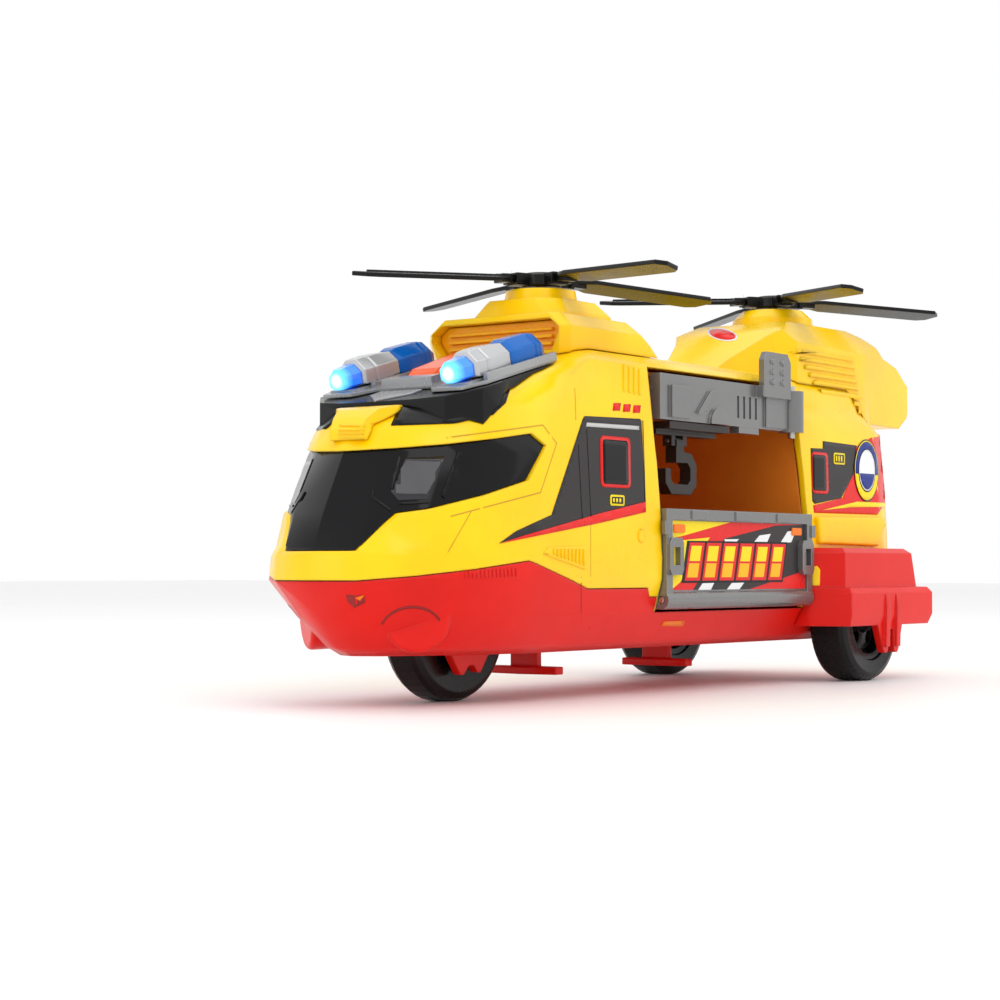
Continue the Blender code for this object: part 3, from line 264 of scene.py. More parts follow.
TYRE = plastic("tyre_black", (0.004, 0.004, 0.004), 0.28, wear_and_highlight=0.06, grain=600.0, edge=0.9, shine=0.22)
# The grey's strong edge lightening is mostly painted highlight
GREY = plastic("door_grey", (0.20, 0.199, 0.198), 0.25, coat=0.3, wear_and_highlight=0.70, metallic=0.5, peel=0.06,
               edge=0.35)
DARK = plastic("hook_dark", (0.018, 0.012, 0.009), 0.30, wear_and_highlight=0.20, peel=0.10, edge=0.5, shine=0.35)
SILVER = plastic("pod_silver", (0.52, 0.53, 0.54), 0.25, coat=0.2, metallic=0.45, wear_and_highlight=0.3, edge=0.4)
TRAY = plastic("tray_grey", (0.36, 0.365, 0.37), 0.26, coat=0.15, metallic=0.45, wear_and_highlight=0.3, edge=0.4)
BLUE = plastic("beacon_blue", (0.002, 0.13, 0.50), 0.16, (0.001, 0.10, 0.42), coat=0.12, depth=0.02,
               shine=0.25)
ORANGE = plastic("button_orange", (0.92, 0.10, 0.006), 0.24, coat=0.1, depth=0.1, shine=0.25)
AMBER = plastic("grille_amber", (1.0, 0.50, 0.004), 0.28, (0.98, 0.42, 0.003), depth=0.2, shine=0.25)
STEEL = plastic("pin_steel", (0.55, 0.54, 0.52), 0.30, metallic=1.0, wear_and_highlight=0.2)
BOARD = plastic("board_green", (0.02, 0.20, 0.07), 0.40, wear_and_highlight=0.0)
CELL = plastic("cell_wrap", (0.33, 0.34, 0.36), 0.30, metallic=0.6, wear_and_highlight=0.1)
LAMP = lamp_material()
SEAM = plastic("seam_shadow", (0.60, 0.33, 0.002), 0.6, wear_and_highlight=0.0, edge=0.0)
# Dark red for the hull seam, and painted shade in the nose recess and over the cheek bosses
RED_SEAM_SHADOW = plastic("red_seam_shadow", (0.30, 0.005, 0.004), 0.6, wear_and_highlight=0.0, edge=0.0)
INK_GREY = ink("label_grey", (0.034, 0.029, 0.030), 0.36)
INK_BLACK = ink("label_black", (0.004, 0.004, 0.004), 0.22)
INK_RED = ink("label_red", (0.78, 0.016, 0.014))
INK_YELLOW = ink("label_yellow", (0.96, 0.74, 0.006))
INK_AMBER = ink("label_amber", (0.95, 0.50, 0.004))
INK_WHITE = ink("label_white", (0.86, 0.87, 0.88))
INK_SILVER = ink("label_silver", (0.55, 0.55, 0.55), 0.2)
INK_BLUE = ink("label_blue", (0.012, 0.030, 0.24))
INK_ORANGE = ink("label_orange", (0.95, 0.20, 0.015))


# ---------------------------------------------------------------- geometry helpers


def publish(name, bm, mat, body="fuselage", smooth=True):
    """Turns a bmesh in millimetres into a piece that rides on a body."""
    mesh = bpy.data.meshes.new(name)
    bmesh.ops.scale(bm, vec=(MM, MM, MM), verts=bm.verts)
    bm.to_mesh(mesh)
    bm.free()
    mesh.materials.append(mat)
    for face in mesh.polygons:
        face.use_smooth = smooth
    obj = bpy.data.objects.new(name, mesh)
    SCENE.collection.objects.link(obj)
    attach(obj, body)
    return obj


def even_normals(obj):
    weighted = obj.modifiers.new("Normals", "WEIGHTED_NORMAL")
    weighted.keep_sharp = True


def bevelled(obj, width, segments=2, angle=32.0):
    mod = obj.modifiers.new("Edges", "BEVEL")
    mod.width = width * MM
    mod.segments = segments
    mod.limit_method = "ANGLE"
    mod.angle_limit = math.radians(angle)
    mod.use_clamp_overlap = False
    mod.miter_outer = "MITER_ARC"
    even_normals(obj)


def thickened(obj, thick, rounding=0.0):
    """Gives a sheet its thickness, inward, and rounds its rim."""
    solid = obj.modifiers.new("Film", "SOLIDIFY")
    solid.thickness = thick * MM
    solid.offset = -1.0
    if rounding:
        bevelled(obj, rounding, angle=50.0)


def finer_copy(node, mat, sharp):
    """A copy that takes a CAD node's place: merged faces, smooth across edges under sharp degrees."""
    source = NODES[node]
    bm = bmesh.new()
    bm.from_mesh(source.data)
    bmesh.ops.remove_doubles(bm, verts=bm.verts, dist=2e-6)
    bmesh.ops.dissolve_limit(bm, angle_limit=math.radians(0.6), verts=bm.verts, edges=bm.edges)
    bmesh.ops.recalc_face_normals(bm, faces=bm.faces)
    for edge in bm.edges:
        edge.smooth = len(edge.link_faces) != 2 or edge.calc_face_angle(0.0) < math.radians(sharp)
    bmesh.ops.scale(bm, vec=(METRE, METRE, METRE), verts=bm.verts)
    obj = publish(node + "_fine", bm, mat, source["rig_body"])
    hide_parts(node)
    return obj


def refined(node, mat, sharp=28.0):
    """A finer copy whose edges are rounded by its material."""
    even_normals(finer_copy(node, mat, sharp))


def eased(node, mat, width, segments=2, angle=32.0):
    """A finer copy of a simple node, smooth throughout, with rounded edges of its own."""
    bevelled(finer_copy(node, mat, ALL_SMOOTH), width, segments, angle)


def skin_tree(*names):
    """Ray-cast tree over CAD nodes."""
    points = []
    faces = []
    for name in names:
        mesh = NODES[name].data
        start = len(points)
        points.extend(v.co.copy() for v in mesh.vertices)
        faces.extend([start + i for i in p.vertices] for p in mesh.polygons)
    return BVHTree.FromPolygons(points, faces)


SHELL = skin_tree("body_shell")
FRONT = skin_tree("body_shell", "windscreen")
HULL = skin_tree("hull", "body_shell")
BROW = skin_tree("body_shell", "nose_crest")
TAIL = skin_tree("rear_pylon")
OUTER = skin_tree("hull", "body_shell", "sponson_left")


def on_skin(point, tree, lift):
    """The skin point behind a point as seen from SIGHT, raised by lift. Returns millimetres.

    Where the tail corner turns away, the point slides forward until it lands on the side.
    """
    slide = 0.25
    most_slides = 160
    tail_start = 60.0
    side_on = 0.5
    for back in range(most_slides):
        target = (Vector(point) - Vector((0.0, slide * back, 0.0))) * MM
        ray = (target - SIGHT).normalized()
        hit, normal, _, _ = tree.ray_cast(SIGHT, ray)
        if hit is not None and (point[1] < tail_start or abs(normal.x) > side_on):
            break
    if hit is None:
        hit, normal, _, _ = tree.find_nearest(Vector(point) * MM)
    if normal.dot(ray) > 0.0:
        normal = -normal
    return hit * METRE + normal * lift


def cut_to_cells(bm, outline, step):
    """Cuts a flat outline into triangles about step wide, so that it can follow the skin."""
    for axis, normal in ((0, (0, 1, 0)), (1, (0, 0, 1))):
        low = min(p[axis] for p in outline)
        high = max(p[axis] for p in outline)
        count = int((high - low) / step)
        for i in range(count):
            at = low + (high - low) * (i + 1) / (count + 1)
            place = (0, at, 0) if axis == 0 else (0, 0, at)
            geom = bm.verts[:] + bm.edges[:] + bm.faces[:]
            bmesh.ops.bisect_plane(bm, geom=geom, dist=1e-5, plane_co=place, plane_no=normal)
    bmesh.ops.triangulate(bm, faces=bm.faces, ngon_method="EAR_CLIP")


def patch(name, outline, mat, lift, thick=FILM, step=2.0, tree=SHELL, mirror=True, rounding=0.0,
          plane=SIDE):
    """A film or raised pad that follows the skin inside an outline."""
    bm = bmesh.new()
    bm.faces.new([bm.verts.new((0.0, y, z)) for y, z in outline])
    cut_to_cells(bm, outline, step)
    for vert in bm.verts:
        vert.co = on_skin((plane, vert.co.y, vert.co.z), tree, lift)
    bmesh.ops.remove_doubles(bm, verts=bm.verts, dist=0.08)
    bmesh.ops.dissolve_degenerate(bm, edges=bm.edges, dist=0.05)
    bm.normal_update()
    facing = sum((f.normal * f.calc_area() for f in bm.faces), Vector())
    if facing.x < 0:
        bmesh.ops.reverse_faces(bm, faces=bm.faces)
    if mirror:
        copy = bm.copy()
        for vert in copy.verts:
            vert.co.x = -vert.co.x
        bmesh.ops.reverse_faces(copy, faces=copy.faces)
    thickened(publish(name, bm, mat), thick, rounding)
    if mirror:
        thickened(publish(name + "_right", copy, mat), thick, rounding)


def strip(name, line, width, mat, lift, step=2.5, **more):
    """A narrow line drawn along a path, as a film or a raised ridge."""
    least_mitre = 0.35
    line = [Vector(p) for p in line]
    left = []
    right = []
    for i, p in enumerate(line):
        before = (p - line[i - 1]).normalized() if i else None
        after = (line[i + 1] - p).normalized() if i + 1 < len(line) else None
        along = ((before or after) + (after or before)).normalized()
        across = Vector((-along.y, along.x))
        leg = after or before
        stretch = 1.0 / max(least_mitre, across.dot(Vector((-leg.y, leg.x))))
        left.append(p + across * (width * 0.5 * stretch))
        right.append(p - across * (width * 0.5 * stretch))
    outline = [tuple(p) for p in left] + [tuple(p) for p in reversed(right)]
    patch(name, outline, mat, lift, step=step, **more)


def rib_row(name, count, line, moves, width, mat, lift, **more):
    """Numbered ribs. The first runs along line, and each point moves on by its own step."""
    for i in range(count):
        rib = [(y + i * dy, z + i * dz) for (y, z), (dy, dz) in zip(line, moves)]
        strip(name + "_" + str(i + 1), rib, width, mat, lift, **more)


def ellipse(mid_y, mid_z, half_y, half_z, count=40, start=0.0, end=360.0):
    """Points round an ellipse, or along its arc from start to end degrees."""
    points = []
    steps = count if end - start >= 360.0 else count + 1
    for i in range(steps):
        angle = math.radians(start + (end - start) * i / count)
        points.append((mid_y + half_y * math.cos(angle), mid_z + half_z * math.sin(angle)))
    return points


def rounded_box(front, low, rear, high, radius, lean=0.0):
    """Rounded rectangle; lean shifts its lower edge along y."""
    corners = [(rear - radius, high - radius), (front + radius, high - radius),
               (front + radius, low + radius), (rear - radius, low + radius)]
    points = []
    for turn, middle in enumerate(corners):
        points += ellipse(*middle, radius, radius, 4, 90.0 * turn, 90.0 * turn + 90.0)
    return [(y + lean * (high - z) / (high - low), z) for y, z in points]


def door_plate(name, outline, mat, lift, thick=DOOR_FILM, rounding=0.0):
    """A flat film or block on the door's outer face."""
    bm = bmesh.new()
    face = bm.faces.new([bm.verts.new((DOOR_FACE + lift, y, z)) for y, z in outline])
    bm.normal_update()
    if face.normal.x < 0:
        bmesh.ops.reverse_faces(bm, faces=[face])
    bmesh.ops.triangulate(bm, faces=bm.faces, ngon_method="EAR_CLIP")
    thickened(publish(name, bm, mat, "door", smooth=False), thick, rounding)


# ---------------------------------------------------------------- carried-over CAD pieces


def dress_frame():
    """Materials and rounded edges for the pieces whose CAD shape is right."""
    refined("body_shell", YELLOW, sharp=40.0)
    refined("hull", RED, sharp=40.0)
    refined("windscreen", GLASS, sharp=24.0)
    for node in ("front_pylon", "rear_pylon", "nose_crest"):
        refined(node, YELLOW)
    for node in ("sponson_left", "sponson_right", "nose_fork"):
        refined(node, RED)
    for node in ("front_belly_foot", "rear_belly_foot", "battery_cover"):
        eased(node, RED, 0.4)
    refined("light_base", TRIM)
    refined("light_tray", TRAY)
    refined("side_door", GREY)
    refined("crane_arm", GREY)
    refined("hook_rail", DARK)
    refined("crane_hook", DARK)
    eased("siren_button", ORANGE, 0.7, segments=3)
    refined("intake_grille", AMBER)
    for side in ("front", "rear"):
        refined(side + "_rotor_hub", BLADE)
        for i in range(4):
            eased(side + "_blade_" + str(i + 1), BLADE, 0.3, angle=40.0)
    plain = {
        "bay_liner": YELLOW_IN_SHADED, "front_rotor_shaft": STEEL, "rear_rotor_shaft": STEEL,
        "door_hinge_pin": STEEL, "arm_hinge_pin": STEEL, "hook_pin": STEEL, "rear_axle": STEEL,
        "nose_axle": STEEL, "battery_1": CELL, "battery_2": CELL, "battery_3": CELL,
        "speaker": DARK, "circuit_board": BOARD,
    }
    for side in ("left", "right", "nose"):
        plain[side + "_wheel_tyre"] = TYRE
        plain[side + "_wheel_rim"] = BLADE
    for node, mat in plain.items():
        mesh = NODES[node].data
        mesh.materials.clear()
        mesh.materials.append(mat)


# ---------------------------------------------------------------- light bar

# Place and tilt of the left pod on the sloping bar, its sides and the level of its flat underside
POD_PLACE = Vector((24.3, -147.0, 111.0))
POD_TILT = 14.5
POD_SIDES = 8
POD_FLOOR = -2.95

# Rings of each pod section from front to back: place along the bar, radius and rise
LENS_RINGS = [(-4.6, 3.4, -0.2), (-3.4, 4.6, -0.1), (3.5, 5.2, 0.0)]
HOUSING_RINGS = [(3.7, 5.5, 0.0), (4.6, 6.6, 0.0), (9.2, 6.9, 0.0), (9.6, 6.5, 0.0), (10.5, 6.5, 0.0),
                 (10.9, 6.9, 0.0), (16.0, 6.8, 0.0), (23.6, 6.1, 0.1)]
DOME_RINGS = [(23.8, 6.2, 0.1), (26.5, 6.9, 0.2), (37.0, 6.9, 0.2), (37.5, 6.4, 0.2), (38.4, 6.4, 0.2),
              (38.9, 6.8, 0.2), (40.0, 6.7, 0.2), (40.5, 6.2, 0.1), (41.4, 6.2, 0.1), (41.9, 6.5, 0.1),
              (46.3, 4.2, -0.6)]


def pod_section(name, rings, mat, side, replaces, rounding):
    """Many-sided pod section run along the tilted bar; flat underneath."""
    turn = Matrix.Rotation(math.radians(POD_TILT), 4, "X")
    place = Matrix.Translation((side * POD_PLACE.x, POD_PLACE.y, POD_PLACE.z)) @ turn
    bm = bmesh.new()
    loops = []
    for along, radius, rise in rings:
        loop = []
        for i in range(POD_SIDES):
            angle = math.radians(360.0 * (i + 0.5) / POD_SIDES)
            x = radius * math.cos(angle)
            z = max(POD_FLOOR, radius * math.sin(angle) + rise)
            loop.append(bm.verts.new(place @ Vector((x, along, z))))
        loops.append(loop)
    for a, b in zip(loops, loops[1:]):
        for i in range(POD_SIDES):
            j = (i + 1) % POD_SIDES
            bm.faces.new((a[i], a[j], b[j], b[i]))
    bm.faces.new(loops[0][::-1])
    bm.faces.new(loops[-1])
    bmesh.ops.recalc_face_normals(bm, faces=bm.faces)
    obj = publish(name, bm, mat)
    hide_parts(replaces)
    bevelled(obj, rounding, angle=18.0)


def light_pods():
    """Lens, faceted housing and stepped dome of both pods."""
    for side, tag in ((1, "left"), (-1, "right")):
        pod_section("lens_" + tag, LENS_RINGS, LAMP, side, "lamp_lens_" + tag, 0.3)
        pod_section("housing_" + tag, HOUSING_RINGS, SILVER, side, "lamp_pod_" + tag, 0.3)
        pod_section("dome_" + tag, DOME_RINGS, BLUE, side, "beacon_" + tag, 0.35)


# ---------------------------------------------------------------- cockpit


def cockpit():
    """Side pane, pillars, the seams round the window, brow slats and the nose hatch, with painted shade in
    its recess.
    """
    patch("pane_middle", [(-200.6, 79.7), (-181.0, 81.0), (-189.6, 67.4), (-203.8, 66.6), (-207.6, 69.2)],
          PANE, lift=0.15, thick=0.15, step=2.5, tree=FRONT)
    strip("pillar_a", [(-203.4, 80.0), (-207.6, 70.0)], 1.8, GLASS, lift=0.45, thick=0.8, tree=FRONT,
          rounding=0.25)
    strip("pillar_b", [(-173.3, 82.6), (-181.9, 68.1)], 2.2, GLASS, lift=0.7, thick=1.2, tree=FRONT,
          rounding=0.3)
    strip("pane_foot", [(-215.8, 69.4), (-216.2, 67.2), (-207.6, 63.4)], 0.9, GLASS, lift=0.45,
          thick=0.8, tree=FRONT, rounding=0.2)
    strip("pane_sill", [(-203.9, 65.6), (-189.0, 66.3)], 0.7, GLASS, lift=0.4, thick=0.8, tree=FRONT,
          rounding=0.2)
    strip("seam_window", [(-180.0, 86.9), (-127.9, 93.6), (-119.9, 87.9), (-129.2, 71.1), (-178.0, 62.2)],
          0.45, SEAM, lift=0.05)
    strip("seam_nose", [(-167.3, 63.9), (-180.5, 49.6)], 0.4, SEAM, lift=0.05)
    strip("seam_pillar", [(-109.1, 107.3), (-108.5, 96.4)], 0.4, SEAM, lift=0.05)
    rib_row("brow_slat", 4, [(-232.0, 84.6), (-220.2, 85.05)], [(0.2, 1.15), (0.0, 1.15)], 0.55, YELLOW,
            lift=0.5, thick=0.9, tree=BROW, mirror=False, rounding=0.15)
    # Painted shade: a dark red film where the nose hatch is recessed
    patch("nose_recess_shade", [(-228.3, 38.0), (-220.0, 37.8), (-219.5, 35.6), (-224.4, 34.1), (-227.8, 36.1)],
          RED_SEAM_SHADOW, lift=0.06, tree=HULL, mirror=False)
    patch("nose_flap", [(-223.9, 37.2), (-220.0, 38.0), (-221.9, 36.4)], INK_ORANGE, lift=0.5, thick=0.6,
          tree=HULL, mirror=False)


# ---------------------------------------------------------------- side labels and relief


def window_label(tag, outer, inner, lean):
    """A small window: red rim and black pane, each a leaning (front, low, rear, high) box."""
    patch("window_rim_" + tag, rounded_box(*outer, 2.0, lean), INK_RED, lift=0.34)
    patch("window_pane_" + tag, rounded_box(*inner, 1.3, lean), INK_BLACK, lift=0.42)


def small_label(tag, front, low, rear, high):
    """Small plain marker: yellow frame, dark field and three bars."""
    rim_y, rim_z = 0.9, 0.7
    margin_y, margin_z = 1.5, 1.2
    bar_share = 0.55
    patch("marker_" + tag, rounded_box(front, low, rear, high, 0.8), INK_YELLOW, lift=0.34)
    field = rounded_box(front + rim_y, low + rim_z, rear - rim_y, high - rim_z, 0.3)
    patch("marker_field_" + tag, field, INK_BLACK, lift=0.40)
    pitch = (rear - front - 2.0 * margin_y) / 3.0
    for i in range(3):
        start = front + margin_y + i * pitch
        bar = rounded_box(start, low + margin_z, start + pitch * bar_share, high - margin_z, 0.1)
        patch("marker_bar_" + tag + str(i + 1), bar, INK_YELLOW, lift=0.46)


def front_labels():
    """Dark cabin label with its stripe, lines and window, on both sides of the front."""
    patch("cabin_label", [(-104.4, 97.0), (-103.2, 98.0), (-68.6, 98.9), (-67.8, 98.2), (-65.0, 69.6),
                          (-93.9, 64.9), (-140.1, 56.4), (-152.4, 54.0), (-143.0, 58.1), (-123.0, 63.8)],
          INK_GREY, lift=0.20, thick=0.15)
    patch("cabin_stripe", [(-65.0, 69.6), (-64.9, 65.9), (-93.9, 61.6), (-152.2, 53.9), (-140.1, 56.4),
                           (-93.9, 64.9)], INK_RED, lift=0.21, thick=0.15)
    patch("cabin_bar", [(-102.2, 95.8), (-69.5, 96.3), (-69.3, 94.9), (-102.8, 94.4)], INK_SILVER,
          lift=0.32)
    strip("cabin_line_a", [(-102.2, 93.4), (-99.6, 63.6)], 0.35, INK_BLACK, lift=0.30, thick=0.06)
    strip("cabin_line_b", [(-107.3, 88.0), (-104.9, 62.8)], 0.35, INK_BLACK, lift=0.30, thick=0.06)
    strip("cabin_line_c", [(-66.9, 98.4), (-65.4, 69.8)], 0.4, INK_BLACK, lift=0.30, thick=0.06)
    window_label("front", (-94.2, 74.0, -75.2, 91.8), (-92.6, 75.1, -76.7, 90.6), 0.4)
    small_label("front", -87.9, 67.7, -78.9, 71.5)


def front_relief():
    """Vent ribs, jamb button, ribbed belt pad, hull ribs and the seams of the front."""
    rib_row("vent_rib", 4, [(-78.6, 117.6), (-78.6, 108.0)], [(3.3, -0.3), (3.3, -0.2)], 1.5, YELLOW,
            lift=0.55, thick=1.0, rounding=0.3)
    patch("jamb_button", rounded_box(-69.8, 55.0, -66.0, 60.0, 1.7), YELLOW, lift=0.5, thick=0.9,
          rounding=0.25)
    pad_front, pad_foot, pad_length = -128.0, 50.6, 24.6
    patch("belt_pad", [(pad_front, pad_foot), (-124.9, 52.9), (-102.6, 53.7),
                       (pad_front + pad_length, 45.4)], YELLOW, lift=0.6, thick=1.2, step=3.0, rounding=0.4)
    first, pitch = -122.5, 2.2
    foot_slope = -5.0 / pad_length
    first_foot = pad_foot + foot_slope * (first - pad_front) + 0.9
    rib_row("belt_rib", 9, [(first, 52.4), (first, first_foot)],
            [(pitch, 0.0), (pitch, foot_slope * pitch)], 0.8, YELLOW, lift=1.15, thick=0.8, rounding=0.2)
    rib_row("hull_rib", 14, [(-170.4, 45.4), (-170.1, 42.6)], [(2.1, 0.04), (2.1, 0.04)], 0.8, RED,
            lift=0.35, thick=0.7, tree=HULL, rounding=0.15)
    strip("hull_seam", [(-105.4, 43.0), (-105.4, 28.6)], 0.4, RED_SEAM_SHADOW, lift=0.05, tree=HULL)
    strip("belt_seam", [(-99.6, 62.2), (-99.6, 41.0)], 0.35, SEAM, lift=0.05)


def rear_labels():
    """Dark cabin label, red sweep, yellow swoosh and a plain roundel on the tail."""
    patch("tail_sweep", [(96.7, 96.6), (109.7, 100.8), (127.4, 102.4), (130.0, 89.0), (123.7, 74.6),
                         (114.8, 68.5), (59.7, 68.2), (58.9, 71.2), (83.8, 74.8), (93.0, 85.0)],
          INK_RED, lift=0.10, thick=0.12)
    patch("tail_swoosh", [(66.3, 69.4), (96.5, 73.6), (123.7, 73.7), (121.5, 71.9), (92.2, 71.2)],
          INK_YELLOW, lift=0.32)
    patch("tail_label", [(57.0, 94.1), (67.2, 94.3), (67.2, 97.4), (96.5, 96.9), (93.4, 84.7), (82.8, 74.7),
                         (60.0, 71.8), (58.2, 72.9)], INK_GREY, lift=0.14, thick=0.12)
    window_label("rear", (57.4, 76.0, 71.0, 92.7), (57.8, 77.2, 69.2, 91.6), 0.6)
    small_label("rear", 76.1, 88.4, 85.7, 93.1)
    middle = (104.9, 86.8)
    patch("roundel_edge", ellipse(*middle, 11.0, 13.0), INK_BLACK, lift=0.38)
    patch("roundel_gold", ellipse(*middle, 10.5, 12.5), INK_YELLOW, lift=0.44)
    patch("roundel_navy", ellipse(*middle, 10.1, 12.0, start=-8.0, end=188.0), INK_BLUE, lift=0.50)
    patch("roundel_rim", ellipse(*middle, 7.6, 9.1), INK_BLACK, lift=0.55)
    patch("roundel_field", ellipse(*middle, 7.1, 8.6), INK_WHITE, lift=0.60)
    patch("roundel_base", ellipse(*middle, 6.6, 8.0, 24, start=190.0, end=350.0), INK_BLUE, lift=0.65)


def rear_relief():
    """Raised belt under the tail label, sill marker and the tab on the left wheel housing."""
    patch("tail_belt", [(59.8, 66.6), (117.6, 67.4), (118.4, 64.2), (112.4, 55.2), (61.6, 55.8)], YELLOW,
          lift=2.2, thick=3.0, step=4.0, rounding=0.9)
    patch("sill_marker", [(-53.0, 26.9), (-39.0, 26.9), (-40.2, 24.9), (-54.8, 25.3)], INK_ORANGE,
          lift=0.3, thick=0.5, step=3.0, tree=HULL, mirror=False)
    patch("fender_tab", [(57.6, 46.4), (61.9, 47.0), (64.6, 45.4), (64.2, 39.0), (57.9, 39.0)], YELLOW,
          lift=0.6, thick=1.0, tree=OUTER, mirror=False, rounding=0.3)


def tail_ribs():
    """Cooling ribs on both sides of the tail fairing. The higher ones reach further forward."""
    furthest = 74.0
    front, rear, level = 99.8, 130.6, 114.2
    for i in range(8):
        z = level + 3.05 * i
        line = [(max(furthest, front - 3.6 * i), z), (rear - 0.8 * i, z - 0.3)]
        strip("tail_rib_" + str(i + 1), line, 1.4, YELLOW, lift=0.7, thick=1.8, tree=TAIL, rounding=0.35,
              plane=TAIL_SIDE)


def cheek_shade():
    """Shadow line over each round boss under the nose."""
    arc = ellipse(-197.3, 26.4, 15.4, 7.6, 9, start=25.0, end=160.0)
    # A painted shadow: a dark red film where the hood over each boss shades it
    strip("cheek_shadow_line", arc, 0.9, RED_SEAM_SHADOW, lift=0.08, thick=0.12, tree=HULL)


def bar_trim():
    """Black lip under the light bar, grey nose plate of the tray, and red dashes on the cabin."""
    patch("base_lip", [(-207.4, 89.2), (-176.1, 91.5), (-155.7, 95.4), (-148.7, 99.7), (-146.4, 104.0),
                       (-151.9, 102.5), (-160.7, 99.0), (-170.5, 98.0), (-181.4, 97.5), (-201.0, 98.5)],
          TRIM, lift=0.5, thick=0.8)
    tray_front, tray_level, tray_slope = -160.0, 102.3, 0.292
    outline = [(0.0, -160.6), (9.0, -152.0), (9.0, -146.0), (-9.0, -146.0), (-9.0, -152.0)]
    bm = bmesh.new()
    bm.faces.new([bm.verts.new((x, y, tray_level + (y - tray_front) * tray_slope)) for x, y in outline])
    thickened(publish("tray_nose", bm, TRAY), 0.9, rounding=0.25)
    for i in range(3):
        y = -86.0 + 6.4 * i
        dash = [(y, 100.8), (y + 4.6, 101.1), (y + 5.2, 103.8), (y + 0.6, 103.5)]
        patch("cabin_dash_" + str(i + 1), dash, INK_RED, lift=0.15)


def plain_badge():
    """A blank oval badge on the front slope of the tail fairing."""
    layers = (("badge_rim", 12.0, 2.5, INK_WHITE, 0.15), ("badge_face", 10.4, 2.0, INK_RED, 0.22))
    for name, half_y, half_z, mat, lift in layers:
        oval = [(BADGE_SIDE, y, z) for y, z in ellipse(40.9, 140.2, half_y, half_z, 28)]
        bm = bmesh.new()
        bm.faces.new([bm.verts.new(on_skin(point, TAIL, lift)) for point in oval])
        bm.normal_update()
        bmesh.ops.triangulate(bm, faces=bm.faces)
        thickened(publish(name, bm, mat), FILM)


def door_graphic():
    """Flat colour pattern on the drop-down door: no lettering."""
    front, rear, low, high = -48.3, 51.8, 38.0, 63.3
    door_plate("door_field", [(front, low), (rear, low), (rear, high), (front, high)], INK_RED, lift=0.0,
               thick=FILM)
    door_plate("door_yellow_top", [(front, high), (-6.0, high), (-41.0, 57.6), (front, 56.8)], INK_YELLOW,
               lift=0.06)
    door_plate("door_yellow_side", [(front, 55.6), (-21.0, 57.4), (-30.0, 50.0), (-42.0, 40.8),
                                    (front, low)], INK_YELLOW, lift=0.06)
    door_plate("door_dark", [(28.0, high - 0.8), (rear, high), (rear, 45.0), (8.0, low), (-33.0, low),
                             (-10.7, 57.0)], INK_GREY, lift=0.05)
    door_plate("door_red_tail", [(14.0, low), (rear, low), (rear, 43.6)], INK_RED, lift=0.07)
    checks = [
        [(-10.7, 56.8), (0.2, 57.0), (-2.8, 55.4), (-9.4, 55.2)],
        [(15.8, 58.6), (24.4, 59.3), (21.6, 56.0), (11.0, 55.6)],
        [(37.8, 60.4), (44.8, 61.0), (40.6, 56.2), (32.0, 55.8)],
        [(-26.3, 40.4), (-18.1, 40.5), (-20.4, low), (-29.4, low)],
        [(-5.2, 40.4), (4.0, 40.5), (0.4, low), (-8.8, low)],
    ]
    for i, outline in enumerate(checks):
        door_plate("door_check_" + str(i + 1), outline, INK_WHITE, lift=0.12)
    backing = [(-41.0, 40.6), (-37.0, 56.0), (37.6, 56.2), (33.6, 40.6)]
    door_plate("door_bar_backing", backing, INK_BLACK, lift=0.16)
    for i in range(6):
        y = -39.0 + 12.2 * i
        edge = [(y, 41.4), (y + 10.6, 41.4), (y + 14.2, 55.4), (y + 3.6, 55.4)]
        door_plate("door_bar_edge_" + str(i + 1), edge, INK_RED, lift=0.22)
        top = [(y + 3.3, 48.6), (y + 10.5, 48.6), (y + 12.0, 54.2), (y + 4.8, 54.2)]
        door_plate("door_bar_top_" + str(i + 1), top, INK_YELLOW, lift=0.28)
        foot = [(y + 1.6, 42.6), (y + 8.8, 42.6), (y + 10.2, 47.8), (y + 3.0, 47.8)]
        door_plate("door_bar_low_" + str(i + 1), foot, INK_AMBER, lift=0.28)
    for tag, y in (("front", -46.8), ("rear", 40.6)):
        door_plate("door_lamp_" + tag, rounded_box(y, 58.9, y + 7.6, 61.9, 0.6), INK_ORANGE, lift=0.75,
                   thick=0.7, rounding=0.25)


# ---------------------------------------------------------------- stage

# Half the floor's width, and the scale of its faint clouds per metre
FLOOR_REACH = 6000.0
FLOOR_SCALE = 3.0


def area_light(name, at, aim, size, power):
    """A soft rectangular light in metres and watts, aimed at a point."""
    data = bpy.data.lights.new(name, "AREA")
    data.energy = power
    data.shape = "RECTANGLE"
    data.size = size[0]
    data.size_y = size[1]
    light = bpy.data.objects.new(name, data)
    SCENE.collection.objects.link(light)
    light.location = at
    light.rotation_mode = "QUATERNION"
    light.rotation_quaternion = (Vector(aim) - Vector(at)).to_track_quat("-Z", "Y")


def white_surroundings():
    world = bpy.data.worlds.new("studio")
    SCENE.world = world
    world.use_nodes = True
    back = world.node_tree.nodes["Background"]
    back.inputs["Color"].default_value = (1.0, 1.0, 1.0, 1.0)
    back.inputs["Strength"].default_value = 1.0


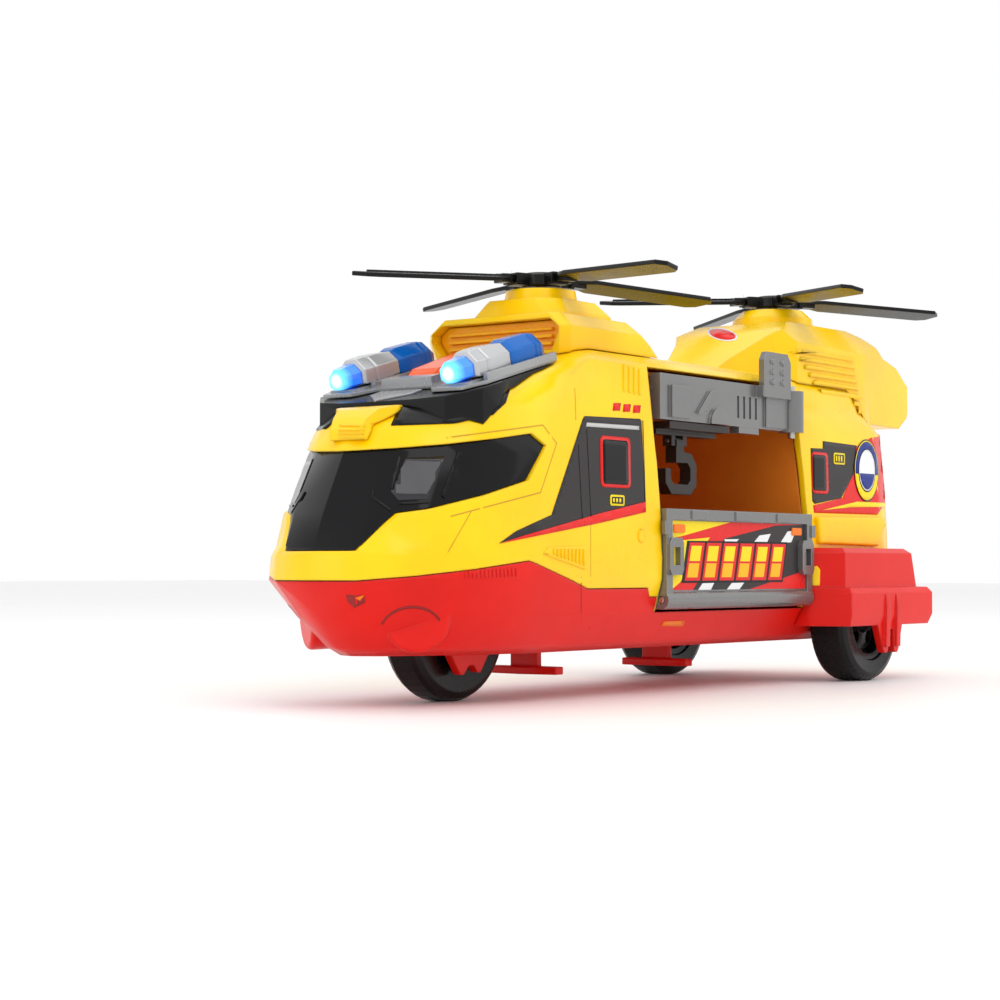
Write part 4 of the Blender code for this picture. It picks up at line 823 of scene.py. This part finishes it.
def pale_floor():
    bm = bmesh.new()
    bmesh.ops.create_grid(bm, x_segments=8, y_segments=8, size=FLOOR_REACH)
    mesh = bpy.data.meshes.new("floor")
    bmesh.ops.scale(bm, vec=(MM, MM, MM), verts=bm.verts)
    bm.to_mesh(mesh)
    bm.free()
    floor = bpy.data.objects.new("floor", mesh)
    SCENE.collection.objects.link(floor)
    mat = bpy.data.materials.new("floor_paper")
    mat.use_nodes = True
    tree = mat.node_tree
    shader = tree.nodes["Principled BSDF"]
    coord = add(tree, "ShaderNodeTexCoord").outputs["Object"]
    cloud = noise(tree, coord, FLOOR_SCALE, detail=4.0)
    tone = ramp(tree, cloud, [(0.3, (0.88, 0.88, 0.88)), (0.7, (0.90, 0.90, 0.90))])
    tree.links.new(tone, shader.inputs["Base Color"])
    shader.inputs["Roughness"].default_value = 0.55
    mesh.materials.append(mat)


def photo_camera():
    """The camera at SIGHT, level sideways, turned by AZIMUTH from the front and by ELEVATION."""
    data = bpy.data.cameras.new("camera")
    data.lens = LENS
    data.sensor_width = SENSOR
    data.clip_start = 0.01
    data.clip_end = 50.0
    camera = bpy.data.objects.new("camera", data)
    SCENE.collection.objects.link(camera)
    around = math.radians(AZIMUTH)
    up = math.radians(ELEVATION)
    away = Vector((math.sin(around) * math.cos(up), -math.cos(around) * math.cos(up), math.sin(up)))
    side = Vector((math.cos(around), math.sin(around), 0.0))
    turn = Matrix((side, away.cross(side), away)).transposed().to_4x4()
    camera.matrix_world = Matrix.Translation(SIGHT) @ turn
    SCENE.camera = camera


def studio():
    """Pale floor, soft white surroundings, four soft lights and the camera."""
    white_surroundings()
    pale_floor()
    area_light("key", (0.75, -0.55, 1.15), (0.0, -0.02, 0.07), (0.8, 0.8), 4.0)
    area_light("nose_fill", (-0.35, -1.35, 0.55), (0.0, -0.10, 0.08), (0.9, 0.7), 1.6)
    area_light("rear_fill", (0.9, 0.75, 0.8), (0.0, 0.08, 0.10), (0.8, 0.8), 1.6)
    area_light("top", (-0.3, 0.2, 1.5), (0.0, 0.0, 0.1), (1.2, 1.2), 3.0)
    photo_camera()
    SCENE.view_settings.view_transform = "Standard"
    SCENE.view_settings.look = "None"


dress_frame()
light_pods()
cockpit()
front_labels()
front_relief()
rear_labels()
rear_relief()
tail_ribs()
cheek_shade()
bar_trim()
plain_badge()
door_graphic()
studio()
